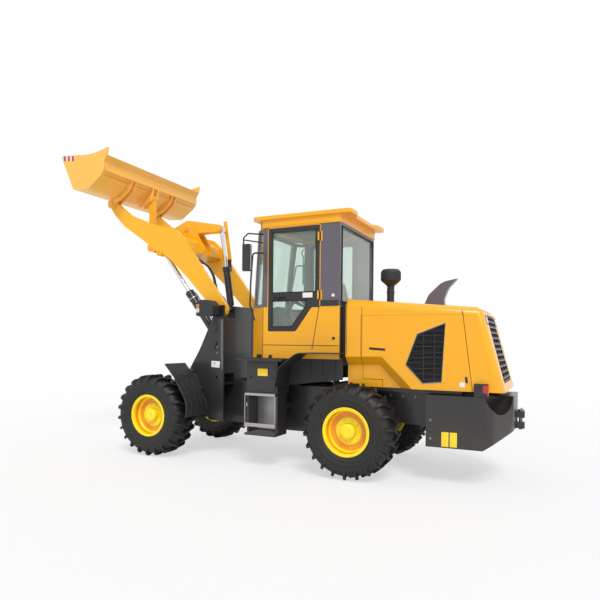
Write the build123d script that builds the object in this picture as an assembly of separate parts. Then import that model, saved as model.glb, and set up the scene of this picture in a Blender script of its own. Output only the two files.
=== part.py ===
from build123d import *
import os
from math import cos, hypot, radians, sin

# A small articulated wheel loader, with its boom raised and its bucket rolled back.
# X runs forward to the bucket, Y to the machine's left, Z up from the ground.
# Every piece is drawn with X = 0 at the rear axle, and moved once, at the end, so that
# the origin lies on the ground under the middle of the whole machine.

# Overall sizes
WHEELBASE = 2800
TRACK = 1524
TYRE_DIAMETER = 1075
TYRE_WIDTH = 410
RIM_DIAMETER = 508
BUCKET_WIDTH = 2060
BOOM_LENGTH = 2508
BOOM_ANGLE = 39.34
CAB_WIDTH = 1250
HOOD_WIDTH = 1200

# Running clearances
SIDE_GAP = 5
PIN_PLAY = 1
SEAT_GAP = 0.3
PANEL_GAP = 6

# Wheels and axles
RIM_FLANGE = 20
RIM_WIDTH = 330
RIM_WALL = 12
HUB_RADIUS = 118
HUB_REACH = 70
DISC_OFFSET = 60
AXLE_TUBE_RADIUS = 85
AXLE_BOWL_RADIUS = 195

# Articulation hinge between the two frames
HINGE_UPPER = 900
HINGE_LOWER = 470
HINGE_PIN_RADIUS = 35
HINGE_LUG_RADIUS = 100
TIE_EYE_RADIUS = 18
HINGE_LUG_THICKNESS = 40
HINGE_FORK_THICKNESS = 30
NECK_LENGTH = 240
BULKHEAD_SETBACK = 310

# Frame plates
RAIL_OUTER = 425
RAIL_THICKNESS = 25
FRAME_TOP = 985
RAIL_REAR = -1380
NECK_OUTER = 245
PLATE = 25

# Boom arms, measured along the line from boom pivot to bucket pin and square to it
ARM_THICKNESS = 55
ARM_CENTRE = 447.5
BOOM_PIVOT_BACK = 830
BOOM_PIVOT_HEIGHT = 1960
LIFT_PIN = (1332, -31)
BELLCRANK_PIVOT = (1435, 395)
ROD_PIN = (1000, 705)
LINK_PIN = (1850, -250)
CROSS_SECTION = ((1005, 250), (1118, 345), (1225, 345), (1300, 250), (1312, 130), (1130, 70))
CROSS_WALL = 16
ARM_TIP_RADIUS = 62

# Bucket, measured from its hinge pin
BUCKET_LINK_PIN = (-345, 155)
BUCKET_SHELL = 14
BUCKET_SIDE = 18
EAR_THICKNESS = 25
LINK_EAR_THICKNESS = 22

# Pins and cylinders
BOOM_PIN_RADIUS = 32
LIFT_PIN_RADIUS = 24
BUCKET_PIN_RADIUS = 26
LINK_PIN_RADIUS = 24
BELLCRANK_PIN_RADIUS = 32
LIFT_BASE_BACK = 755
LIFT_BASE_HEIGHT = 1495
LIFT_CENTRE = 345
LIFT_BARREL_RADIUS = 57
LIFT_BARREL_LENGTH = 902
LIFT_ROD_RADIUS = 30
LIFT_ROD_INSIDE = 188
TILT_BASE_BACK = 680
TILT_BASE_HEIGHT = 1980
TILT_BARREL_RADIUS = 50
TILT_BARREL_LENGTH = 614
TILT_ROD_RADIUS = 27
TILT_ROD_INSIDE = 250
STEER_BASE_BACK = 470
STEER_ROD_AHEAD = 250
STEER_CENTRE = 300
STEER_HEIGHT = 690
STEER_BARREL_RADIUS = 38
STEER_BARREL_LENGTH = 466
STEER_ROD_INSIDE = 212
STEER_ROD_RADIUS = 19

# Linkage plates
BELLCRANK_PLATE = 25
BELLCRANK_INSIDE = 45
BRACKET_PLATE = 25
EYE_WIDTH = 70

# Cab
CAB_REAR = 210
CAB_FLOOR = 1330
CAB_BELT = 1960
CAB_TOP = 2945
CAB_WALL = 40
GLASS = 6
GLASS_INSET = 15
DOOR_REAR = 470
DOOR_FRONT = 1165
ROOF_TOP = 3090
ROOF_SLAB = 45
ROOF_OVERHANG = 35

# Hood
HOOD_FRONT = 140
HOOD_FLOOR = 1020
HOOD_HEIGHT = 2045
HOOD_WALL = 25
HOOD_EDGE_RADIUS = 110
DOOR_HINGE_HEIGHT = 1840
DOOR_SILL = 1110

# Access steps
STEP_REAR = 905

# Places that follow from the sizes above
WHEEL_RADIUS = TYRE_DIAMETER / 2
FRONT_X = WHEELBASE
PIVOT_X = WHEELBASE / 2
TYRE_INNER = (TRACK - TYRE_WIDTH) / 2
ENGINE_DOOR_HINGE_Y = HOOD_WIDTH / 2 + 4
CAB_HINGE = (DOOR_REAR - 8, CAB_WIDTH / 2 + 9 + SEAT_GAP)
ARM_INNER = ARM_CENTRE - ARM_THICKNESS / 2
ARM_OUTER = ARM_CENTRE + ARM_THICKNESS / 2
TOWER_INNER = ARM_OUTER + 10
TOWER_OUTER = TOWER_INNER + PLATE
TIE_EYE_X = FRONT_X - 790
TIE_EYE_Y = TOWER_OUTER - PLATE / 2
TIE_EYE_Z = 1050
BOOM_PIVOT = (FRONT_X - BOOM_PIVOT_BACK, BOOM_PIVOT_HEIGHT)
LIFT_BASE = (FRONT_X - LIFT_BASE_BACK, LIFT_BASE_HEIGHT)
TILT_BASE = (FRONT_X - TILT_BASE_BACK, TILT_BASE_HEIGHT)
BELLCRANK_OUTER = BELLCRANK_INSIDE + BELLCRANK_PLATE
BRACKET_INNER = BELLCRANK_OUTER + SIDE_GAP + 3
BRACKET_OUTER = BRACKET_INNER + BRACKET_PLATE


def on_boom(along, across):
    """A boom point, given along and square to the boom line, as (x, z)."""
    turn = radians(BOOM_ANGLE)
    x = BOOM_PIVOT[0] + along * cos(turn) - across * sin(turn)
    z = BOOM_PIVOT[1] + along * sin(turn) + across * cos(turn)
    return (x, z)


BUCKET_PIN = on_boom(BOOM_LENGTH, 0)


def on_bucket(dx, dz):
    """A bucket point, given from the hinge pin, as (x, z)."""
    return (BUCKET_PIN[0] + dx, BUCKET_PIN[1] + dz)


# Small building blocks


def block(x, y, z):
    """A box between the low and high values of each axis."""
    pairs = (x, y, z)
    middle = [(low + high) / 2 for low, high in pairs]
    size = [high - low for low, high in pairs]
    return Pos(*middle) * Box(*size)


def outline(*corners):
    """A closed face from corners (a, b) or (a, b, rounding radius)."""
    points = [(c[0], c[1]) for c in corners]
    radii = [c[2] if len(c) > 2 else 0 for c in corners]
    if any(radii):
        return make_face(FilletPolyline(*points, radius=radii, close=True))
    return make_face(Polyline(*points, close=True))


def upright(face, low, high):
    """A face drawn in X and Z, made into a plate between two Y values."""
    plane = Plane(origin=(0, high, 0), x_dir=(1, 0, 0), z_dir=(0, -1, 0))
    return extrude(plane * face, high - low)


def crosswise(face, low, high):
    """A face drawn in Y and Z, made into a plate between two X values."""
    plane = Plane(origin=(low, 0, 0), x_dir=(0, 1, 0), z_dir=(1, 0, 0))
    return extrude(plane * face, high - low)


def level(face, low, high):
    """A face drawn in X and Y, made into a plate between two Z values."""
    return Pos(0, 0, low) * extrude(face, high - low)


def disc_y(point, radius, low, high):
    """A cylinder along Y at an (x, z) point."""
    middle = (low + high) / 2
    return Pos(point[0], middle, point[1]) * Rot(90, 0, 0) * Cylinder(radius, high - low)


def disc_z(point, radius, low, high):
    """A cylinder along Z at an (x, y) point."""
    middle = (low + high) / 2
    return Pos(point[0], point[1], middle) * Cylinder(radius, high - low)


def bar(start, end, radius):
    """A round bar between two points."""
    line = Vector(*end) - Vector(*start)
    plane = Plane(origin=start, z_dir=line)
    return plane * Cylinder(radius, line.length, align=(Align.CENTER, Align.CENTER, Align.MIN))


def tube_path(points, bend, radius):
    """A bent tube through points, with equal bends."""
    path = FilletPolyline(*points, radius=bend)
    start = Plane(origin=path @ 0, z_dir=path % 0)
    return sweep(start * Circle(radius), path=path)


def spin_y(face):
    """A face drawn as (radius, y), turned about the Y axis."""
    return revolve(face, Axis.Y)


def spin_z(face):
    """A face drawn as (radius, z), turned about the Z axis."""
    return revolve(Plane.XZ * face, Axis.Z)


def other_side(piece):
    return mirror(piece, about=Plane.XZ)


def both_sides(piece):
    return [piece, other_side(piece)]


def between(point, other, distance):
    """The (x, z) point at a distance from the first point towards the other."""
    length = hypot(other[0] - point[0], other[1] - point[1])
    share = distance / length
    return (point[0] + share * (other[0] - point[0]), point[1] + share * (other[1] - point[1]))


def rod_along(start, end, low, high, radius, y):
    """A round bar at one Y on the line between two (x, z) points, by distances."""
    first = between(start, end, low)
    last = between(start, end, high)
    return bar((first[0], y, first[1]), (last[0], y, last[1]), radius)


# Wheels


def tyre():
    bead = RIM_DIAMETER / 2 + 4
    seat = RIM_WIDTH / 2 - SEAT_GAP
    half = TYRE_WIDTH / 2
    tread = WHEEL_RADIUS
    face = outline(
        (bead, -seat),
        (bead + 20, -seat, 10),
        (bead + 90, -half, 60),
        (tread - 80, -half, 60),
        (tread, -half + 28, 30),
        (tread, half - 28, 30),
        (tread - 80, half, 60),
        (bead + 90, half, 60),
        (bead + 20, seat, 10),
        (bead, seat),
    )
    return spin_y(face)


def rim():
    """A one-piece rim: barrel with two flanges and a dished disc towards the outside."""
    outer = RIM_DIAMETER / 2
    edge = RIM_WIDTH / 2
    wall = RIM_WALL
    barrel = outline(
        (outer - wall, -edge - wall),
        (outer + RIM_FLANGE, -edge - wall),
        (outer + RIM_FLANGE, -edge),
        (outer, -edge),
        (outer, -edge + 70),
        (outer - 22, -edge + 100),
        (outer - 22, edge - 100),
        (outer, edge - 70),
        (outer, edge),
        (outer + RIM_FLANGE, edge),
        (outer + RIM_FLANGE, edge + wall, 5),
        (outer - wall, edge + wall),
        (outer - wall, edge - 62),
        (outer - 22 - wall, edge - 96),
        (outer - 22 - wall, -edge + 96),
        (outer - wall, -edge + 62),
    )
    disc = outline(
        (HUB_RADIUS - 30, DISC_OFFSET - 14),
        (outer - 80, DISC_OFFSET - 14),
        (outer - 60, DISC_OFFSET - 40),
        (outer - 30, DISC_OFFSET - 40),
        (outer - 30, DISC_OFFSET - 24),
        (outer - 52, DISC_OFFSET - 24, 12),
        (outer - 72, DISC_OFFSET, 12),
        (HUB_RADIUS - 30, DISC_OFFSET),
    )
    return spin_y(barrel) + spin_y(disc)


def hub():
    """The wheel hub with its round planetary cover, passing through the rim disc."""
    low = DISC_OFFSET - 14 - SEAT_GAP
    bore = HUB_RADIUS - 30 - SEAT_GAP
    face = outline(
        (0, low - 90),
        (HUB_RADIUS + 20, low - 90),
        (HUB_RADIUS + 20, low),
        (bore, low),
        (bore, DISC_OFFSET + HUB_REACH, 14),
        (bore - 30, DISC_OFFSET + HUB_REACH + 14),
        (0, DISC_OFFSET + HUB_REACH + 14),
    )
    return spin_y(face)


def wheel_pieces(x, side):
    """Tyre, rim and hub of one wheel; side is 1 on the left and -1 on the right."""
    place = Pos(x, side * TRACK / 2, WHEEL_RADIUS)
    if side < 0:
        place = place * Rot(0, 0, 180)
    return [place * tyre()], [place * rim(), place * hub()]


# Axles


def axle_end():
    """Where the axle housing stops, just inside the turning hub."""
    return TRACK / 2 + DISC_OFFSET - 14 - 90 - 2 * SEAT_GAP


def axle(x, nose, pads):
    """A rigid axle: tube, round centre housing, pinion nose and pads under the frame."""
    end = axle_end()
    tube = AXLE_TUBE_RADIUS
    bowl = AXLE_BOWL_RADIUS
    face = outline(
        (0, -end),
        (tube + 25, -end, 5),
        (tube + 25, -end + 40, 10),
        (tube, -end + 70, 20),
        (tube, -205, 30),
        (bowl, -105, 60),
        (bowl, 105, 60),
        (tube, 205, 30),
        (tube, end - 70, 20),
        (tube + 25, end - 40, 10),
        (tube + 25, end, 5),
        (0, end),
    )
    housing = Pos(x, 0, WHEEL_RADIUS) * spin_y(face)
    pinion = bar((x, 0, WHEEL_RADIUS), (x + nose * 290, 0, WHEEL_RADIUS), 75)
    flange = bar((x + nose * 270, 0, WHEEL_RADIUS), (x + nose * 300, 0, WHEEL_RADIUS), 90)
    body = housing + pinion + flange
    for y in pads:
        pad = block((x - 90, x + 90), (y - 30, y + 30), (WHEEL_RADIUS, AXLE_TOP))
        body += pad + other_side(pad)
    return body


AXLE_TOP = WHEEL_RADIUS + AXLE_TUBE_RADIUS + 15


# Rear frame


def rear_rail():
    front = PIVOT_X - BULKHEAD_SETBACK
    face = outline(
        (RAIL_REAR, FRAME_TOP),
        (RAIL_REAR, 600),
        (-600, 600, 60),
        (-300, AXLE_TOP + SEAT_GAP, 60),
        (250, AXLE_TOP + SEAT_GAP, 60),
        (front - 330, 415, 60),
        (front, 415),
        (front, FRAME_TOP),
    )
    return upright(face, RAIL_OUTER - RAIL_THICKNESS, RAIL_OUTER)


def hinge_fork(height):
    """Two level lugs and the hinge pin that they hold."""
    front = PIVOT_X - BULKHEAD_SETBACK
    reach = HINGE_LUG_THICKNESS / 2 + SIDE_GAP
    plate = Rectangle(BULKHEAD_SETBACK, 2 * HINGE_LUG_RADIUS)
    face = Pos(front + BULKHEAD_SETBACK / 2, 0) * plate
    face += Pos(PIVOT_X, 0) * Circle(HINGE_LUG_RADIUS)
    upper = level(face, height + reach, height + reach + HINGE_FORK_THICKNESS)
    lower = level(face, height - reach - HINGE_FORK_THICKNESS, height - reach)
    tip = reach + HINGE_FORK_THICKNESS + 8
    pin = disc_z((PIVOT_X, 0), HINGE_PIN_RADIUS, height - tip, height + tip)
    return upper + lower + pin


def bulkhead():
    front = PIVOT_X - BULKHEAD_SETBACK
    half = RAIL_OUTER - RAIL_THICKNESS
    plate = block((front - PLATE, front), (-half, half), (415, FRAME_TOP))
    shaft = bar((front - 100, 0, 600), (front + 100, 0, 600), 75)
    plate -= shaft
    for y in (-STEER_CENTRE, STEER_CENTRE):
        slot = STEER_BARREL_RADIUS + 50
        low = STEER_HEIGHT - 60
        plate -= block((front - 100, front + 50), (y - slot, y + slot), (low, low + 120))
    return plate


def steer_base():
    """Ears on the rear frame that hold the left steering cylinder's base pin."""
    x = PIVOT_X - STEER_BASE_BACK
    rail = RAIL_OUTER - RAIL_THICKNESS
    face = Pos(x, STEER_CENTRE) * Circle(38)
    face += Pos(x, (STEER_CENTRE + rail) / 2) * Rectangle(76, rail - STEER_CENTRE)
    reach = 25 + SIDE_GAP
    upper = level(face, STEER_HEIGHT + reach, STEER_HEIGHT + reach + 18)
    lower = level(face, STEER_HEIGHT - reach - 18, STEER_HEIGHT - reach)
    pin = disc_z((x, STEER_CENTRE), 16, STEER_HEIGHT - reach - 24, STEER_HEIGHT + reach + 24)
    return upper + lower + pin


def cab_stand(x):
    """A cross plate on the rails that carries the cab floor."""
    face = outline(
        (-RAIL_OUTER, FRAME_TOP - 20),
        (RAIL_OUTER, FRAME_TOP - 20),
        (540, CAB_FLOOR - 60),
        (540, CAB_FLOOR - SEAT_GAP),
        (-540, CAB_FLOOR - SEAT_GAP),
        (-540, CAB_FLOOR - 60),
    )
    window = outline((-300, 1040), (300, 1040), (360, 1240), (-360, 1240))
    return crosswise(face - window, x, x + PLATE)


def hood_ledge():
    """The shelf along the top of the left rail on which the hood stands."""
    top = HOOD_FLOOR - SEAT_GAP
    return block((-1180, HOOD_FRONT), (RAIL_OUTER - 30, HOOD_RECESS - 2), (FRAME_TOP - 10, top))


def rear_frame():
    half = RAIL_OUTER - RAIL_THICKNESS
    body = rear_rail() + other_side(rear_rail())
    body += bulkhead()
    body += hinge_fork(HINGE_UPPER)
    body += hinge_fork(HINGE_LOWER)
    body += steer_base()
    body += other_side(steer_base())
    body += hood_ledge()
    body += other_side(hood_ledge())
    for x in (-1260, -520):
        body += block((x, x + 80), (-half, half), (ENGINE_FLOOR - 60, ENGINE_FLOOR - SEAT_GAP))
    front = PIVOT_X - BULKHEAD_SETBACK
    body += block((front - 330, front - 250), (-half, half), (430, GEARBOX_FLOOR - SEAT_GAP))
    body += cab_stand(330)
    body += cab_stand(1000)
    return [body]


HOOD_RECESS = 510
ENGINE_FLOOR = 720
GEARBOX_FLOOR = 480
SHAFT_GAP = 17


def engine():
    """The engine and its radiator as one plain block, at their real size and place."""
    return [block((-1330, -420), (-310, 310), (ENGINE_FLOOR, 1480))]


def gearbox():
    """The gearbox block, with the drive shafts to the rear axle and to the hinge."""
    front = PIVOT_X - BULKHEAD_SETBACK
    box = block((330, front - 255), (-230, 230), (GEARBOX_FLOOR, 960))
    box += bar((300, 0, WHEEL_RADIUS), (335, 0, WHEEL_RADIUS), 60)
    box += bar((front - 260, 0, 600), (PIVOT_X - SHAFT_GAP, 0, 600), 34)
    return [box]


# Counterweight


def counterweight():
    """A cast block under the hood's tail: rounded rear, sloped underside, scooped corners."""
    half = 650
    plan = outline(
        (-820, -half),
        (-820, half),
        (-1500, half, 120),
        (-1690, half - 330, 260),
        (-1700, 0),
        (-1690, -half + 330, 260),
        (-1500, -half, 120),
    )
    body = level(plan, 410, COUNTERWEIGHT_TOP)
    under = outline((-1400, 400), (-1760, 400), (-1760, 640))
    body -= upright(under, -half - 10, half + 10)
    tunnel = outline((-900, 990), (-810, 990), (-810, 400), (-900, 400))
    body -= upright(tunnel, -RAIL_OUTER - SEAT_GAP, RAIL_OUTER + SEAT_GAP)
    half = RAIL_OUTER + SEAT_GAP
    body -= block((RAIL_REAR - SEAT_GAP, -810), (-half, half), (590, 1000))
    for side in (-1, 1):
        scoop = Pos(-1560, side * (half + 60), 990) * Sphere(210)
        body -= scoop
    hitch = block((TOW_PIN_X - 42, -1660), (-45, 45), (590, 780))
    slot = block((TOW_PIN_X - 50, TOW_PIN_X + 34), (-60, 60), (660, 710))
    body += hitch
    body -= slot
    body -= disc_z((TOW_PIN_X, 0), TOW_PIN_RADIUS + PIN_PLAY, 500, 800)
    return [body]


COUNTERWEIGHT_TOP = 970
TOW_PIN_RADIUS = 20
TOW_PIN_X = -1742


def tow_pin():
    shank = disc_z((TOW_PIN_X, 0), TOW_PIN_RADIUS, 575, 790)
    head = disc_z((TOW_PIN_X, 0), TOW_PIN_RADIUS + 14, 780 + SEAT_GAP, 800)
    return [shank + head]


# Hood


def hood_body(inset):
    """The hood's outer form, shrunk by an inset for its inside."""
    half = HOOD_WIDTH / 2 - inset
    floor = HOOD_FLOOR - 60 * (inset > 0)
    front = HOOD_FRONT - inset
    side = outline((front, floor), (front, 2100), (-1395, 1962, 350), (-1660, 1000), (-1660, floor))
    body = upright(side, -half, half)
    body &= hood_top(half, inset)
    body &= hood_tail(half, inset)
    for side in (-1, 1):
        body -= hood_recess(inset, side)
    return body


def hood_top(half, inset):
    """A long prism under the sloping roof line, with both its upper edges rounded."""
    slope = Vector(-1470, 0, -120)
    start = Vector(HOOD_FRONT, 0, HOOD_HEIGHT) - slope.normalized() * 200
    plane = Plane(origin=start, x_dir=(0, -1, 0), z_dir=slope)
    bend = HOOD_EDGE_RADIUS - inset
    face = outline((-half, -1400), (half, -1400), (half, -inset, bend), (-half, -inset, bend))
    return extrude(plane * face, 2500)


def hood_tail(half, inset):
    """A prism in front of the sloping tail, with both its upright edges rounded."""
    slope = Vector(-220, 0, -800)
    start = Vector(-1400, 0, 1840) - slope.normalized() * 700
    plane = Plane(origin=start, x_dir=(0, 1, 0), z_dir=slope)
    bend = 80 - inset
    face = outline((-half, inset, bend), (half, inset, bend), (half, 2600), (-half, 2600))
    return extrude(plane * face, 2500)


def hood_recess(inset, side):
    """The space over the wheel, where the hood's side steps in behind a sloped band."""
    outer = HOOD_WIDTH / 2 - inset + 1
    inner = HOOD_RECESS - inset
    wide = outline(
        (HOOD_FRONT + 100, 900),
        (HOOD_FRONT + 100, 1365 + inset),
        (-300, 1375 + inset),
        (-660 - inset, 1015),
        (-660 - inset, 900),
    )
    narrow = outline(
        (HOOD_FRONT + 100, 900),
        (HOOD_FRONT + 100, 1265 + inset),
        (-255, 1275 + inset),
        (-510 - inset, 1015),
        (-510 - inset, 900),
    )
    start = Plane(origin=(0, side * inner, 0), x_dir=(1, 0, 0), z_dir=(0, -1, 0))
    end = Plane(origin=(0, side * outer, 0), x_dir=(1, 0, 0), z_dir=(0, -1, 0))
    return loft([start * narrow, end * wide], ruled=True)


def hood_shell():
    return hood_body(0) - hood_body(HOOD_WALL)


def engine_door_region(gap):
    """The left engine door's reach in side view, grown by a gap for its opening."""
    face = outline(
        (-290 + gap, 900),
        (-290 + gap, DOOR_SILL - gap),
        (-50 + gap, DOOR_SILL - gap),
        (-50 + gap, DOOR_HINGE_HEIGHT + gap),
        (-1190 - gap, DOOR_HINGE_HEIGHT + gap),
        (-1300 - gap, 1000),
        (-1300 - gap, 900),
    )
    return upright(face, 300, HOOD_WIDTH / 2 + 50)


def side_vent():
    """The louvred opening in the left engine door, in side view."""
    return outline(
        (-705, 1630, 20),
        (-1010, 1750, 20),
        (-975, 1110, 30),
        (-770, 1090, 30),
        (-580, 1290, 20),
    )


def engine_door():
    door = hood_shell() & engine_door_region(0)
    opening = upright(side_vent(), 400, HOOD_WIDTH / 2 + 50)
    door -= opening
    outer = HOOD_WIDTH / 2 - 4
    for z in range(1130, 1720, 60):
        slat = outline((-400, z), (-400, z + 8), (-1200, z + 8), (-1200, z))
        door += upright(slat, outer - 16, outer) & opening
    return door


def rear_grille_face():
    """The grille's edge in rear view."""
    return outline(
        (-400, 1105, 40),
        (400, 1105, 40),
        (330, 1850, 60),
        (-330, 1850, 60),
    )


def hood():
    """The fixed hood: front hoop, roof, tail corners and the opening for the grille."""
    shell = hood_shell()
    region = engine_door_region(PANEL_GAP)
    shell -= region
    shell -= other_side(region)
    shell -= crosswise(rear_grille_face(), -1700, -1300)
    return [shell]


def rear_grille():
    """Level louvres across the tail, set in a frame that fills the opening."""
    wall = hood_body(SEAT_GAP) - hood_body(HOOD_WALL)
    opening = crosswise(offset(rear_grille_face(), -SEAT_GAP), -1700, -1300)
    inside = crosswise(offset(rear_grille_face(), -30), -1700, -1300)
    filler = wall & opening
    frame = filler - inside
    for z in range(1150, 1800, 62):
        slat = block((-1700, -1300), (-400, 400), (z, z + 26))
        frame += filler & slat
    for y in (-130, 130):
        frame += filler & block((-1700, -1300), (y - 12, y + 12), (1100, 1860))
    return [frame]


# Intake and exhaust


def precleaner():
    base = 2010
    face = outline(
        (0, base),
        (45, base),
        (45, 2235, 20),
        (75, 2262, 20),
        (120, 2300, 25),
        (123, 2410, 25),
        (100, 2440, 10),
        (0, 2440),
    )
    return [Pos(-220, 0, 0) * spin_z(face) - hood_top(HOOD_WIDTH / 2, -SEAT_GAP)]


def exhaust_stack():
    """A flattened horn that leans back, open at its tip."""
    face = outline(
        (-640, 1975),
        (-700, 2110, 120),
        (-860, 2260, 220),
        (-1030, 2292),
        (-930, 2185, 160),
        (-880, 2060, 100),
        (-890, 1955),
    )
    return [upright(face, -45, 45) - hood_top(HOOD_WIDTH / 2, -SEAT_GAP)]


# Cab


def cab_plan(z, inset):
    """The cab's section at one height: flat rear and sides, slanted corner panes, flat front."""
    lean = (z - CAB_BELT) / (CAB_TOP - CAB_BELT)
    lean = max(lean, 0)
    half = CAB_WIDTH / 2
    corner = 1240 - 15 * lean
    reach = 240 - 84 * lean
    side_in = reach * 175 / 240
    points = [
        (CAB_REAR, half),
        (corner, half),
        (corner + reach, half - side_in),
        (corner + reach, -half + side_in),
        (corner, -half),
        (CAB_REAR, -half),
    ]
    face = make_face(Polyline(*points, close=True))
    if inset:
        face = offset(face, -inset, kind=Kind.INTERSECTION)
    return Pos(0, 0, z) * face


def cab_prism(low, high, inset):
    return loft([cab_plan(low, inset), cab_plan(high, inset)], ruled=True)


def door_outline(gap):
    """The cab door in side view, with its lower rear corner cut away over the fender."""
    return outline(
        (DOOR_REAR - gap, CAB_TOP - 15 + gap),
        (DOOR_FRONT + gap, CAB_TOP - 15 + gap),
        (DOOR_FRONT + gap, 1665 - gap, 20),
        (790 - gap, 1665 - gap, 60),
        (580 - gap, 1955 - gap, 40),
        (DOOR_REAR - gap, 1955 - gap),
    )


def corner_window(shrink):
    """The slanted front corner opening on the left, as a tapered cutter."""
    slices = []
    for z in (2000 + shrink, CAB_TOP - 40 - shrink):
        lean = (z - CAB_BELT) / (CAB_TOP - CAB_BELT)
        corner = 1240 - 15 * lean
        reach = 240 - 84 * lean
        side_in = reach * 175 / 240
        half = CAB_WIDTH / 2
        along = Vector(240, -175, 0).normalized()
        out = Vector(175, 240, 0).normalized()
        first = Vector(corner, half, 0) + along * (40 + shrink)
        last = Vector(corner + reach, half - side_in, 0) - along * (40 + shrink)
        points = [first - out * 90, last - out * 90, last + out * 60, first + out * 60]
        face = make_face(Polyline(*[(p.X, p.Y) for p in points], close=True))
        slices.append(Pos(0, 0, z) * face)
    return loft(slices, ruled=True)


def cab_windows(shrink):
    """Cutters for the rear, front and corner windows, shrunk for their panes."""
    half = CAB_WIDTH / 2
    rear = block(
        (CAB_REAR - 50, CAB_REAR + 90),
        (-half + 50 + shrink, half - 50 - shrink),
        (2010 + shrink, CAB_TOP - 40 - shrink),
    )
    front = block(
        (1280, 1600),
        (-405 + shrink, 405 - shrink),
        (2000 + shrink, CAB_TOP - 40 - shrink),
    )
    left = corner_window(shrink)
    return [rear, front, left, other_side(left)]


def cab_frame():
    """Pillars and rails above the belt line."""
    body = cab_prism(CAB_BELT + SEAT_GAP, CAB_TOP, 0)
    body -= cab_prism(CAB_BELT, CAB_TOP + 10, CAB_WALL)
    for cutter in cab_windows(0):
        body -= cutter
    door = upright(door_outline(PANEL_GAP), 500, 700)
    body -= door
    body -= other_side(door)
    return [body]


def cab_glass():
    """The fixed panes: rear, front and two corners."""
    low = 1990
    sheet = cab_prism(CAB_BELT, CAB_TOP, GLASS_INSET)
    sheet -= cab_prism(CAB_BELT, CAB_TOP + 1, GLASS_INSET + GLASS)
    panes = []
    for cutter in cab_windows(SEAT_GAP):
        panes += (sheet & cutter).solids()
    return panes


def cab_base():
    """The lower cab: floor, walls up to the belt line, open above."""
    body = cab_prism(CAB_FLOOR, CAB_BELT, 0)
    hollow = cab_prism(CAB_FLOOR + 40, CAB_BELT + 1, CAB_WALL)
    body -= hollow
    door = upright(door_outline(PANEL_GAP), 500, 700)
    body -= door
    body -= other_side(door)
    return [body]


def cab_roof():
    """A slab with a drip edge all round, over a deep band that sits on the pillars."""
    half = CAB_WIDTH / 2 + ROOF_OVERHANG
    plan = outline(
        (70, half, 40),
        (1390, half, 60),
        (1400, 0),
        (1390, -half, 60),
        (70, -half, 40),
        (70, -420, 30),
        (130, -330, 30),
        (130, 330, 30),
        (70, 420, 30),
    )
    slab = level(plan, ROOF_TOP - ROOF_SLAB, ROOF_TOP)
    band_half = CAB_WIDTH / 2 + 8
    top = ROOF_TOP - ROOF_SLAB
    band = block((CAB_REAR - 8, 1255), (-band_half, band_half), (CAB_TOP + SEAT_GAP, top))
    room = block((CAB_REAR + 45, 1200), (-band_half + 55, band_half - 55), (CAB_TOP - 5, top - 30))
    nose = block((1250, 1375), (-470, 470), (CAB_TOP + SEAT_GAP, top))
    body = slab + band + nose - room
    for side in (-1, 1):
        body -= roof_lamp_box(side, SEAT_GAP)
    return [body]


def door_frame_window(shrink):
    """Openings of the door's upper and lower panes, in side view."""
    upper = outline(
        (DOOR_REAR + 45 + shrink, CAB_TOP - 60 - shrink),
        (DOOR_FRONT - 45 - shrink, CAB_TOP - 60 - shrink),
        (DOOR_FRONT - 45 - shrink, 2130 + shrink),
        (DOOR_REAR + 45 + shrink, 2130 + shrink),
    )
    lower = outline(
        (640 + shrink, 2040 - shrink),
        (DOOR_FRONT - 45 - shrink, 2040 - shrink),
        (DOOR_FRONT - 45 - shrink, 1710 + shrink),
        (830 + shrink, 1710 + shrink, 20),
        (640 + shrink, 1975 + shrink, 20),
    )
    return upper, lower


def cab_door():
    outer = CAB_WIDTH / 2
    body = upright(door_outline(0), outer - CAB_WALL, outer)
    upper, lower = door_frame_window(0)
    body -= upright(upper, outer - 80, outer + 20)
    body -= upright(lower, outer - 80, outer + 20)
    body += block((DOOR_FRONT - 190, DOOR_FRONT - 60), (outer - 2, outer + 22), (2068, 2092))
    for z in (2040, 2740):
        body += disc_z(CAB_HINGE, 9, z, z + 110)
        body += block((CAB_HINGE[0], DOOR_REAR + 25), (outer + 1.5, outer + 10), (z, z + 110))
        body += block((DOOR_REAR + 3, DOOR_REAR + 25), (outer - 2, outer + 2), (z, z + 110))
    return [body]


def cab_door_glass():
    outer = CAB_WIDTH / 2 - GLASS_INSET
    upper, lower = door_frame_window(SEAT_GAP)
    return [upright(upper, outer - GLASS, outer), upright(lower, outer - GLASS, outer)]


# Inside the cab


def operator_seat():
    floor = CAB_FLOOR + 40 + SEAT_GAP
    stand = block((470, 800), (-190, 190), (floor, 1640))
    pan = block((440, 860), (-230, 230), (1640, 1690))
    return [stand + pan]


def seat_cushion():
    face = outline(
        (430, 1690 + SEAT_GAP),
        (880, 1690 + SEAT_GAP, 30),
        (890, 1800, 40),
        (560, 1800, 60),
        (450, 2330, 40),
        (370, 2320, 40),
    )
    return [upright(face, -235, 235)]


def steering_console():
    floor = CAB_FLOOR + 40 + SEAT_GAP
    face = outline((1180, floor), (1400, floor), (1400, 1960, 40), (1270, 2010, 30), (1180, 1700))
    body = upright(face, -150, 150)
    body += bar((1240, 0, 1900), column_point(0), 28)
    return [body]


def column_point(beyond):
    """A point on the steering column's line, past its top end by a distance."""
    lean = radians(32)
    reach = 225 + beyond
    return (1240 - reach * sin(lean), 0, 1900 + reach * cos(lean))


def steering_wheel():
    ring = Torus(180, 14)
    spokes = Cylinder(60, 22) + Box(360, 34, 12) + Box(34, 360, 12)
    wheel = Rot(0, -32, 0) * (ring + spokes)
    return [Pos(*column_point(11 + SEAT_GAP)) * wheel]


# Outside trim of the rear body


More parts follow.
